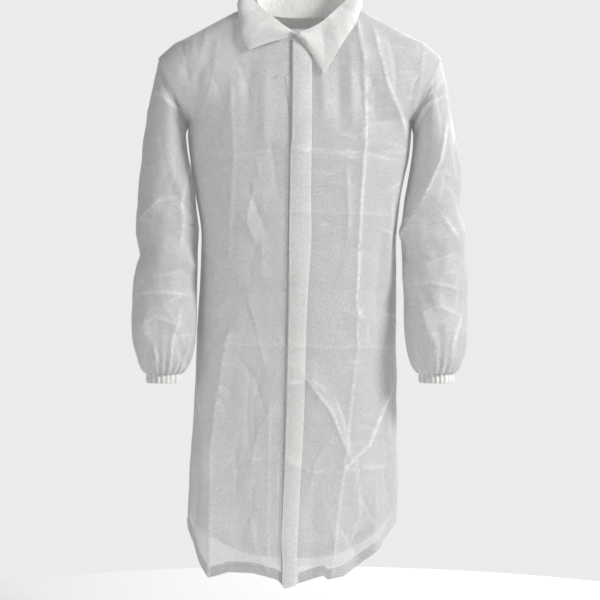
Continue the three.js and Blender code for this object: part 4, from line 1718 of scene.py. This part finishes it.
@dataclass(frozen=True)
class SleeveShape:
    """Sizes of a sleeve, from the armhole to the gathered cuff."""

    elbow_drop: float = 0.420
    cuff_drop: float = -corner("left_cuff_casing", False).z
    casing: float = 0.016
    middle: float = (corner("left_cuff_casing", True).x + corner("left_cuff_casing", False).x) / 2
    half: float = 0.060
    depth: float = 0.072
    cuff_half: float = 0.030
    cuff_depth: float = 0.033
    reach: float = 0.042
    clearance: float = 0.006
    elbow_forward: float = 0.012
    forearm_lean: float = 0.084
    pleats: int = 21
    seam_ring: float = 0.006  # shares of the way to the elbow: the armhole seam
    first_ring: float = 0.012  # the sleeve cloth's first ring
    allowance_start: float = 0.014  # and the doubled edge's first ring
    split: float = 1.0  # the ring at which the two lengths of cloth meet
    elbow_run: float = 0.085  # length of cloth that a bending elbow would take

    def lean(self, drop: Points) -> Points:
        """Y of the forearm's middle at a drop."""
        share = np.clip((drop - self.elbow_drop) / (self.cuff_drop - self.elbow_drop), 0, 1)
        return -self.elbow_forward - self.forearm_lean * share**0.9

    def axis_points(self, share: float) -> tuple[Points, Points, float, float]:
        """Inner point, outer point, half-depth and Y of a ring.

        Args:
            share: 0 at the armhole, 1 at the elbow, 2 at the casing's top.

        Returns:
            The ring's measures, for the left sleeve.
        """
        s = SHAPE
        if share <= 1:
            low = s.armpit_drop + (self.elbow_drop - s.armpit_drop) * share
            high = s.shoulder_drop + (self.elbow_drop - s.shoulder_drop) * share
            gap = self.clearance * float(ease(share, 0, 0.12))
            inner_x = float(s.panel_edge(np.array(low))) + gap
            bulge = self.reach * math.sin(math.pi / 2 * share)
            inner = np.array([inner_x, 0, -low])
            outer = np.array([s.shoulder_half + bulge, 0, -high])
            depth = s.armhole_depth + (self.depth - s.armhole_depth) * share
            return inner, outer, depth, -self.elbow_forward * share**2
        part = share - 1
        drop = self.elbow_drop + (self.cuff_drop - self.casing - self.elbow_drop) * part
        full = (1 - max(0.0, 2 * part - 1) ** 3.2) ** 0.62
        half = self.cuff_half + (self.half - 0.001 - self.cuff_half) * full
        depth = self.cuff_depth + (self.depth - self.cuff_depth) * full
        elbow_middle = (s.waist_half + self.clearance + s.shoulder_half + self.reach) / 2
        middle = elbow_middle + (self.middle - elbow_middle) * float(ease(part, 0, 0.4))
        inner = np.array([middle - half, 0, -drop])
        outer = np.array([middle + half, 0, -drop])
        return inner, outer, depth, float(self.lean(np.array(drop)))


@dataclass
class Sleeve:
    """A sleeve in two lengths, with its armhole seam, casing and elastic."""

    side: Side
    finishes: Finishes
    shape: SleeveShape = SleeveShape()
    columns: int = 97
    upper_rows: int = 58
    lower_rows: int = 96
    allowance_ends: tuple[float, float] = (0.105, 0.075)  # last ring on the left, on the right
    allowance_gap: float = 0.0016
    slump_height: float = 0.0042
    pleat_height: float = 0.0019
    bend_start: float = 0.004  # the armhole to the first cloth that a raised arm would move

    def ring(self, share: float, turn: Points) -> Points:
        """One smooth section, starting at the underarm.

        Args:
            share: 0 at the armhole, 1 at the elbow, 2 at the casing.
            turn: Angles round the section.

        Returns:
            The points.
        """
        inner, outer, depth, lean = self.shape.axis_points(share)
        middle, arm = (inner + outer) / 2, (outer - inner) / 2
        points = middle[None] - arm[None] * np.cos(turn)[:, None]
        points[:, 1] += lean - np.sin(turn) * depth
        return points

    def smooth_grid(self, shares: Points) -> Points:
        """Smooth sections at the given shares, with the seam under the arm.

        Args:
            shares: 0 at the armhole, 1 at the elbow, 2 at the casing.

        Returns:
            Rows by columns of points.
        """
        turn = np.linspace(0, 2 * math.pi, self.columns)
        grid = np.array([self.ring(float(s), turn) for s in shares])
        grid[..., 0] *= self.side.value
        return grid

    def draped(self, shares: Points) -> tuple[Points, Points]:
        """The folded cloth at the given shares.

        Args:
            shares: 0 at the armhole, 1 at the elbow, 2 at the casing.

        Returns:
            The grid and its painted highlights along creases and gather crests.
        """
        grid = self.smooth_grid(shares)
        outward = grid - grid.mean(1, keepdims=True)
        outward /= np.linalg.norm(outward, axis=2, keepdims=True)
        turn = np.linspace(0, 2 * math.pi, self.columns)[None]
        front = ease(np.sin(turn), -0.1, 0.35)
        height = np.zeros(grid.shape[:2])
        painted_highlight = np.zeros(grid.shape[:2])
        for fold in SLEEVE_FOLDS[self.side]:
            part, line = fold.lift(grid[..., 0], -grid[..., 2])
            height += part * front
            painted_highlight = np.maximum(painted_highlight, line * front)
        back = 1 - front
        mirrored = grid * np.array([-1, 1, 1])
        other = Side.LEFT if self.side is Side.RIGHT else Side.RIGHT
        # a weaker painted highlight along the mirrored creases at the back
        for fold in SLEEVE_FOLDS[other][2:]:
            part, line = fold.lift(mirrored[..., 0], -mirrored[..., 2] + 0.012)
            height -= 0.7 * part * back
            painted_highlight = np.maximum(painted_highlight, 0.6 * line * back)
        share = shares[:, None]
        seed = 41 if self.side is Side.LEFT else 57
        fine = crumple(grid, seed, 0.11, (1.0, 1.0, 1.0))
        swell = crumple(grid, seed + 1, 0.20, (0.7, 0.8, 1.2))
        elbow = np.exp(-(((share - 1.2) / 0.35) ** 2))
        height += (0.0020 + 0.0012 * elbow) * fine + (0.0045 + 0.0025 * elbow) * swell
        slump = np.sin(2 * math.pi * 3.1 * share + 1.7 * np.sin(turn + seed) + 0.6)
        lean = 0.65 + 0.35 * np.cos(turn - 1.2)
        drag = np.exp(-(((share - 1.15) / 0.42) ** 2)) * lean
        height += self.slump_height * drag * (2 / math.pi) * np.arcsin(slump)
        seam = 1 - np.exp(-((np.minimum(turn, 2 * math.pi - turn) / 0.10) ** 2))
        height *= 0.25 + 0.75 * seam
        height *= ease(share, 0.0, 0.14) * (1 - 0.8 * ease(share, 1.86, 2.0))
        pleat = self.pleat_heights(turn, ease(share, 1.55, 2.0) ** 1.5)
        clear = 0.4 + 0.6 * ease(turn * (2 * math.pi - turn), 0.2, 2.6)
        height = np.where(height > 0, height * clear, height)
        # painted highlight on the crests of the gathers, lighter where they stand out
        painted_highlight = np.maximum(painted_highlight, 0.5 * ease(share, 1.7, 2.0) * ease(pleat, 0.0008, 0.0016))
        return grid + outward * (height + pleat)[..., None], painted_highlight

    def pleat_heights(self, turn: Points, amount: Points) -> Points:
        """Heights of the gathers that the elastic draws in.

        Args:
            turn: Angles round the section.
            amount: Share of the full gathers.

        Returns:
            The heights.
        """
        n = self.shape.pleats
        wander = 0.5 * np.sin(3 * turn + 1.1) + 0.35 * np.sin(5 * turn + 0.4)
        wave = np.cos(n * turn + 2.2 * wander) + 0.35 * np.cos((n + 7) * turn + 0.6)
        return self.pleat_height * amount * wave

    def build(self) -> list[Piece]:
        """Builds the sleeve's pieces.

        Returns:
            The pieces.
        """
        word = self.side.word
        upper = self.length_of_cloth(
            f"{word}_sleeve_upper_cloth",
            np.linspace(self.shape.first_ring, self.shape.split, self.upper_rows))
        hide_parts(f"{word}_upper_sleeve")
        lower = self.length_of_cloth(
            f"{word}_sleeve_lower_cloth", np.linspace(self.shape.split, 2.0, self.lower_rows))
        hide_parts(f"{word}_lower_sleeve")
        allowance = self.build_allowance()
        for piece in (upper, allowance):
            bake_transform(piece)
        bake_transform(lower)
        return [upper, lower, allowance, self.build_armhole(), *self.build_cuff()]

    def build_allowance(self) -> Piece:
        """The cloth edges that lie doubled inside the sleeve beside the armhole seam.

        Returns:
            The piece.
        """
        end = self.allowance_ends[0 if self.side is Side.LEFT else 1]
        grid = self.smooth_grid(np.linspace(self.shape.allowance_start, end, 6))
        inward = grid.mean(1, keepdims=True) - grid
        inward /= np.linalg.norm(inward, axis=2, keepdims=True)
        grid = grid + inward * self.allowance_gap
        if self.side is Side.RIGHT:
            grid = grid[:, ::-1]
        strip = Ply(f"{self.side.word}_armhole_allowance", grid[:, ::-1],
                    self.finishes.collar).make()
        return strip

    def length_of_cloth(self, name: str, shares: Points) -> Piece:
        """One length of the sleeve's cloth.

        Args:
            name: The piece's name.
            shares: The rings that it covers.

        Returns:
            The piece.
        """
        grid, painted_highlight = self.draped(shares)
        base = self.smooth_grid(shares)
        if self.side is Side.RIGHT:
            grid, painted_highlight, base = grid[:, ::-1], painted_highlight[:, ::-1], base[:, ::-1]
        cloth = Ply(name, grid[:, ::-1], self.finishes.cloth, painted_highlight[:, ::-1]).make()
        return cloth

    def build_armhole(self) -> Piece:
        """The overlocked seam round the armhole.

        Returns:
            The piece.
        """
        word = self.side.word
        turn = np.linspace(0, 2 * math.pi, 121)
        line = self.ring(self.shape.seam_ring, turn)
        line[:, 0] *= self.side.value
        bead = overlock(f"{word}_armhole_overlock", line, self.finishes.thread)
        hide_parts(f"{word}_armhole_seam")
        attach(bead, BODY)
        return bead

    def cuff_ring(self, drop: float, trim: float, turn: Points) -> Points:
        """A ring of the cuff at a drop, taken in by trim, with its gathers.

        Args:
            drop: The ring's drop.
            trim: How far the ring is taken in.
            turn: Angles round the section.

        Returns:
            The points.
        """
        shape = self.shape
        half, depth = shape.cuff_half - trim, shape.cuff_depth - trim
        gather = self.pleat_heights(turn, np.ones_like(turn)) * 0.8
        x = shape.middle - (half + gather) * np.cos(turn)
        y = float(shape.lean(np.array(drop))) - (depth + gather) * np.sin(turn)
        points = np.stack([x, y, np.full(len(turn), -drop)], -1)
        points[:, 0] *= self.side.value
        return points

    def build_cuff(self) -> list[Piece]:
        """The folded casing, its stitches and the elastic inside it.

        Returns:
            The pieces.
        """
        word = self.side.word
        shape = self.shape
        count = self.columns * 2 - 1
        turn = np.linspace(0, 2 * math.pi, count)[:-1]
        top, foot = shape.cuff_drop - shape.casing, shape.cuff_drop
        wall = 0.0022
        section = [(top - 0.001, 0.0)]
        section += [(top + (foot - top) * k / 5, -0.0012 * math.sin(math.pi * k / 5))
                    for k in range(1, 5)]
        bend = np.linspace(0, math.pi, 6)
        section += [(foot - wall / 2 + wall / 2 * math.sin(b), wall / 2 - wall / 2 * math.cos(b))
                    for b in bend]
        section += [(foot - (foot - top) * 0.45, wall), (top + 0.003, wall)]
        grid = np.array([self.cuff_ring(d, t, turn) for d, t in section])
        if self.side is Side.LEFT:
            grid = grid[:, ::-1]
        casing = Ply(f"{word}_cuff_cloth", grid, self.finishes.doubled, ring=True).make()
        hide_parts(f"{word}_cuff_casing")
        line = self.cuff_ring(top + SEW_MARGIN, -0.0008, np.append(turn, turn[0]))
        stitches = stitch_row(f"{word}_cuff_stitches", line, self.finishes.thread)
        low, high = (-corner(f"{word}_cuff_elastic", top_end).z for top_end in (True, False))
        ribs = 0.00015
        band = [self.cuff_ring(low + (high - low) * k / 8, 0.0011 + ribs * (-1) ** k, turn)
                for k in range(9)]
        band = np.array(band)
        if self.side is Side.LEFT:
            band = band[:, ::-1]
        elastic = Ply(f"{word}_elastic_band", band, self.finishes.elastic, ring=True,
                      thickness=0.0007).make()
        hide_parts(f"{word}_cuff_elastic")
        for piece in (casing, stitches, elastic):
            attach(piece, f"{word}_forearm")
        return [casing, stitches, elastic]


# ---- collar --------------------------------------------------------------------------
@dataclass
class Collar:
    """The turned-down collar: two pointed leaves, the fall behind them, and the stand."""

    finishes: Finishes
    # fold and edge pairs as (x, drop), from the centre front to the shoulder
    left_fold: Line = ((-0.005, 0.073), (0.018, 0.063), (0.042, 0.047), (0.060, 0.028),
                       (0.073, 0.013))
    left_front_edge: Line = ((0.005, 0.086), (0.025, 0.116), (0.044, 0.148))
    left_outer_edge: Line = ((0.044, 0.148), (0.078, 0.090), (0.099, 0.056))
    right_fold: Line = ((0.011, 0.071), (0.030, 0.056), (0.046, 0.041), (0.060, 0.028),
                        (0.073, 0.013))
    right_front_edge: Line = ((0.024, 0.078), (0.060, 0.090), (0.093, 0.103))
    right_outer_edge: Line = ((0.093, 0.103), (0.103, 0.082), (0.107, 0.058))
    fall_fold: tuple = ((0.087, -0.014, 0.008), (0.080, 0.024, 0.028), (0.047, 0.052, 0.042),
                        (0.0, 0.060, 0.046))
    fall_edge: tuple = ((0.116, -0.012, -0.001), (0.106, 0.044, -0.012), (0.062, 0.084, -0.026),
                        (0.0, 0.094, -0.030))
    behind: float = 0.004
    lift: float = 0.009
    roll: float = 0.009
    ply_lifts: tuple = (("under", 0.0008), ("top", 0.0022))
    between: float = 0.0015
    stitch_lift: float = 0.0028
    fold_height: float = 0.0025
    crumple_height: float = 0.0007
    stand_crumple: float = 0.0006
    stand_inset: float = 0.0035
    columns: int = 30
    rows: int = 17

    def on_body(self, places: Points, out: float) -> Points:
        """Points over the smooth front at (x, drop) places.

        Args:
            places: Places as (x, drop).
            out: Distance out from the front.

        Returns:
            The points.
        """
        x, drop = places[:, 0], places[:, 1]
        points = SHAPE.base(x, np.maximum(drop, SHAPE.neck_drop + 0.001), Face.FRONT)
        points[:, 2] = -drop
        points[:, 1] -= out
        return points

    def leaf_lines(self, side: Side) -> tuple[Points, Points]:
        """The fold and the outer edge of a leaf, point by point.

        Args:
            side: The wearer's side.

        Returns:
            The points of the fold and of the edge.
        """
        left = side is Side.LEFT
        fold = np.array(self.left_fold if left else self.right_fold)
        first = np.array(self.left_front_edge if left else self.right_front_edge)
        second = np.array(self.left_outer_edge if left else self.right_outer_edge)
        near = self.columns // 2
        edge = np.vstack([smooth_line(first, near), smooth_line(second, self.columns - near + 1)[1:]])
        fold = smooth_line(fold, self.columns)
        tops, ends = self.on_body(fold, self.behind), self.on_body(edge, self.lift)
        flip = np.array([side.value, 1, 1])
        return tops * flip, ends * flip

    def leaf_grid(self, tops: Points, ends: Points, lift: float) -> Points:
        """Rows of a bowed leaf between its fold and its edge.

        Args:
            tops: Points of the fold.
            ends: Points of the outer edge.
            lift: Distance outward.

        Returns:
            Rows by columns of points.
        """
        share = np.linspace(0, 1, self.rows)[:, None, None]
        grid = tops[None] + (ends - tops)[None] * share
        out = ends * np.array([1, 1, 0])
        out /= np.linalg.norm(out, axis=1, keepdims=True)
        rise = out * 0.8 + np.array([0, 0, 0.5])
        bow = 4 * share * (1 - share)
        round_top = self.fold_height * np.exp(-((share / 0.10) ** 2))
        grid = grid + rise[None] * (self.roll * bow + round_top)
        waves = crumple(grid, 91, 0.05, (1.0, 1.0, 1.0))
        fine = self.crumple_height * waves * ease(share[..., 0], 0, 0.2)
        normals = grid_normals(grid)
        sign = np.sign((normals * out[None]).sum(2).mean())
        return grid + sign * normals * (fine + lift)[..., None]

    def ply(self, name: str, grid: Points, node: str, turned: bool) -> Piece:
        """One ply of the collar.

        Args:
            name: The piece's name.
            grid: Rows by columns of points.
            node: The CAD node that it stands for.
            turned: Whether the columns run the other way.

        Returns:
            The piece.
        """
        grid = grid[:, ::-1] if turned else grid
        piece = Ply(name, grid, self.finishes.collar).make()
        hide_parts(node)
        return piece

    def build(self) -> list[Piece]:
        """Builds the collar's pieces.

        Returns:
            The pieces.
        """
        pieces = [self.build_stand()]
        ends = {}
        for side in Side:
            tops, edges = self.leaf_lines(side)
            ends[side] = (tops[-1], edges[-1])
            pieces += self.build_leaf(side, tops, edges)
        folds, edges = (self.fall_line(ends, which) for which in (0, 1))
        for word, lift in self.ply_lifts:
            grid = self.leaf_grid(folds, edges, lift)
            fall = self.ply(f"collar_fall_{word}_cloth", grid, f"collar_fall_{word}_ply", False)
            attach(fall, BODY)
            pieces.append(fall)
        line = self.leaf_grid(folds, edges, self.stitch_lift)[-2]
        stitches = stitch_row("collar_fall_stitches", line, self.finishes.thread)
        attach(stitches, BODY)
        return [*pieces, stitches]

    def build_leaf(self, side: Side, tops: Points, edges: Points) -> list[Piece]:
        """The two plies of a leaf, the turned edge between them, and its stitches.

        Args:
            side: The wearer's side.
            tops: Points of the fold.
            edges: Points of the outer edge.

        Returns:
            The pieces.
        """
        word = side.word
        turned = side is Side.LEFT
        made = []
        for ply, lift in self.ply_lifts:
            grid = self.leaf_grid(tops, edges, lift)
            made.append(self.ply(f"{word}_collar_leaf_{ply}_cloth", grid,
                                 f"{word}_collar_leaf_{ply}_ply", turned))
        rim = self.leaf_grid(tops, edges, self.between)
        allowance = rim[-5:-1]
        if turned:
            allowance = allowance[:, ::-1]
        strip = Ply(f"{word}_collar_turned_edge", allowance, self.finishes.doubled).make()
        line = self.leaf_grid(tops, edges, self.stitch_lift)[-2, 1:-1]
        stitches = stitch_row(f"{word}_collar_stitches", line, self.finishes.thread)
        made += [strip, stitches]
        start, end = Vector(tops[-1]), Vector(edges[self.columns // 2 - 1])
        start.y = end.y = 0.0
        for piece in made:
            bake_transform(piece)
        return made

    def fall_line(self, ends: dict[Side, tuple[Points, Points]], which: int) -> Points:
        """The fall's fold (0) or outer edge (1), from the left leaf round to the right.

        Args:
            ends: The last fold and edge points of each leaf.
            which: 0 for the fold and 1 for the outer edge.

        Returns:
            The points.
        """
        corners = np.array(self.fall_edge if which else self.fall_fold)
        other = corners[:-1][::-1] * np.array([-1, 1, 1])
        points = np.vstack([ends[Side.LEFT][which], corners, other, ends[Side.RIGHT][which]])
        return smooth_line(points, 71)

    def build_stand(self) -> Piece:
        """The stand, which rises inside the neck hole to the collar's fold.

        Returns:
            The piece.
        """
        foot_front = [(x, float(SHAPE.neck_edge(np.array(x), Face.FRONT)))
                      for x in (0.003, 0.030, 0.056, 0.075)]
        foot = [*self.on_body(np.array(foot_front), -0.004)]
        foot.append(np.array([SHAPE.neck_half - 0.003, 0, -SHAPE.neck_drop + 0.002]))
        for x in (0.074, 0.044, 0.0):
            drop = float(SHAPE.neck_edge(np.array(x), Face.BACK))
            back = SHAPE.base(np.array(x), np.array(drop), Face.BACK)
            foot.append(back - np.array([0, 0.003, -0.003]))
        head = [*self.on_body(np.array([(0.004, 0.074), (0.022, 0.063), (0.042, 0.049),
                                        (0.060, 0.030)]), self.behind)]
        head += [np.array(p) for p in ((0.085, -0.014, 0.006), (0.077, 0.022, 0.025),
                                       (0.045, 0.050, 0.039), (0.0, 0.057, 0.043))]
        lines = []
        for half in (foot, head):
            left = np.array(half)
            whole = np.vstack([left, left[:-1][::-1] * np.array([-1, 1, 1])])
            length = np.hypot(whole[:, 0], whole[:, 1])[:, None]
            whole[:, :2] *= (length - self.stand_inset) / length
            lines.append(smooth_line(whole, 121))
        share = np.linspace(0, 0.97, 9)[:, None, None]
        grid = lines[0][None] + (lines[1] - lines[0])[None] * share
        waves = self.stand_crumple * crumple(grid, 77, 0.04, (1, 1, 1))
        grid = grid + grid_normals(grid) * waves[..., None]
        stand = Ply("collar_stand_cloth", grid[::-1], self.finishes.collar).make()
        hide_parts("collar_stand")
        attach(stand, BODY)
        return stand


# ---- studio --------------------------------------------------------------------------
@dataclass
class Studio:
    """The camera, a pale floor and soft light."""

    distance: float = 3.1
    eye_drop: float = 0.56
    focal: float = 98.0
    floor_gap: float = 0.20
    floor_radius: float = 1.35

    def build(self) -> None:
        """Builds the studio."""
        self.build_camera()
        self.build_floor()
        self.build_world()
        self.add_light("key", (2.5, -1.6, 1.0), 0.9, 100.0)
        self.add_light("fill", (-2.4, -2.2, -0.1), 2.4, 22.0)
        self.add_light("behind", (0.9, 2.6, 0.9), 1.8, 62.0)

    def build_camera(self) -> None:
        """Sets a camera straight ahead of the coat."""
        data = bpy.data.cameras.new("camera")
        data.sensor_width = 36.0
        data.lens = self.focal
        camera = bpy.data.objects.new("camera", data)
        camera.location = (0, -self.distance, -self.eye_drop)
        camera.rotation_euler = (math.pi / 2, 0, 0)
        bpy.context.scene.collection.objects.link(camera)
        bpy.context.scene.camera = camera

    def build_floor(self) -> None:
        """A plain pale floor below the hem."""
        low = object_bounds()[0].z - self.floor_gap
        count = 96
        turns = [2 * math.pi * k / count for k in range(count)]
        mesh = bpy.data.meshes.new("floor")
        rim = [(self.floor_radius * math.cos(t), self.floor_radius * math.sin(t), low)
               for t in turns]
        mesh.from_pydata(rim, [], [tuple(range(count))])
        material = bpy.data.materials.new("floor_paint")
        material.use_nodes = True
        shader = material.node_tree.nodes["Principled BSDF"]
        shader.inputs["Base Color"].default_value = (0.86, 0.86, 0.86, 1)
        shader.inputs["Roughness"].default_value = 0.9
        shader.inputs["Emission Color"].default_value = (1.0, 1.0, 1.0, 1)
        shader.inputs["Emission Strength"].default_value = 0.06
        mesh.materials.append(material)
        floor = bpy.data.objects.new("floor", mesh)
        bpy.context.scene.collection.objects.link(floor)
        floor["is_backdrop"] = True

    def build_world(self) -> None:
        """Soft light from all round, with a pale backdrop."""
        world = bpy.data.worlds.new("studio")
        world.use_nodes = True
        tree = world.node_tree
        light = tree.nodes["Background"]
        light.inputs["Color"].default_value = (0.96, 0.98, 1.0, 1)
        light.inputs["Strength"].default_value = 0.29
        wall = tree.nodes.new("ShaderNodeBackground")
        wall.inputs["Color"].default_value = (0.83, 0.835, 0.84, 1)
        path = tree.nodes.new("ShaderNodeLightPath")
        mix = tree.nodes.new("ShaderNodeMixShader")
        tree.links.new(path.outputs["Is Camera Ray"], mix.inputs[0])
        tree.links.new(light.outputs[0], mix.inputs[1])
        tree.links.new(wall.outputs[0], mix.inputs[2])
        tree.links.new(mix.outputs[0], tree.nodes["World Output"].inputs["Surface"])
        scene = bpy.context.scene
        scene.world = world
        scene.view_settings.view_transform = "Standard"
        scene.cycles.transparent_max_bounces = 40

    def add_light(self, name: str, place: tuple[float, float, float], size: float,
                  power: float) -> None:
        """Adds a square soft light that faces the coat's middle.

        Args:
            name: The lamp's name.
            place: Where the lamp is.
            size: The lamp's side.
            power: Its power in watts.
        """
        data = bpy.data.lights.new(name, "AREA")
        data.size = size
        data.energy = power
        lamp = bpy.data.objects.new(name, data)
        lamp.location = place
        aim = Vector((0, 0, -self.eye_drop)) - Vector(place)
        lamp.rotation_euler = aim.to_track_quat("-Z", "Y").to_euler()
        bpy.context.scene.collection.objects.link(lamp)


def main() -> None:
    """Builds the coat and its studio, and reports each piece."""
    logging.basicConfig(level=logging.INFO, format="%(name)s %(message)s")
    Studio().build()
    finishes = Finishes()
    parts = [
        Collar(finishes),
        BackPanel(finishes),
        *(Front(side, finishes) for side in Side),
        FrontEdges(finishes),
        Closures(finishes),
        BodySeams(finishes),
        *(Sleeve(side, finishes) for side in Side),
    ]
    for part in parts:
        for piece in part.build():
            LOG.info("%s: %s has %d faces", type(part).__name__, piece.name,
                     len(piece.data.polygons))


if __name__ == "__main__":
    main()
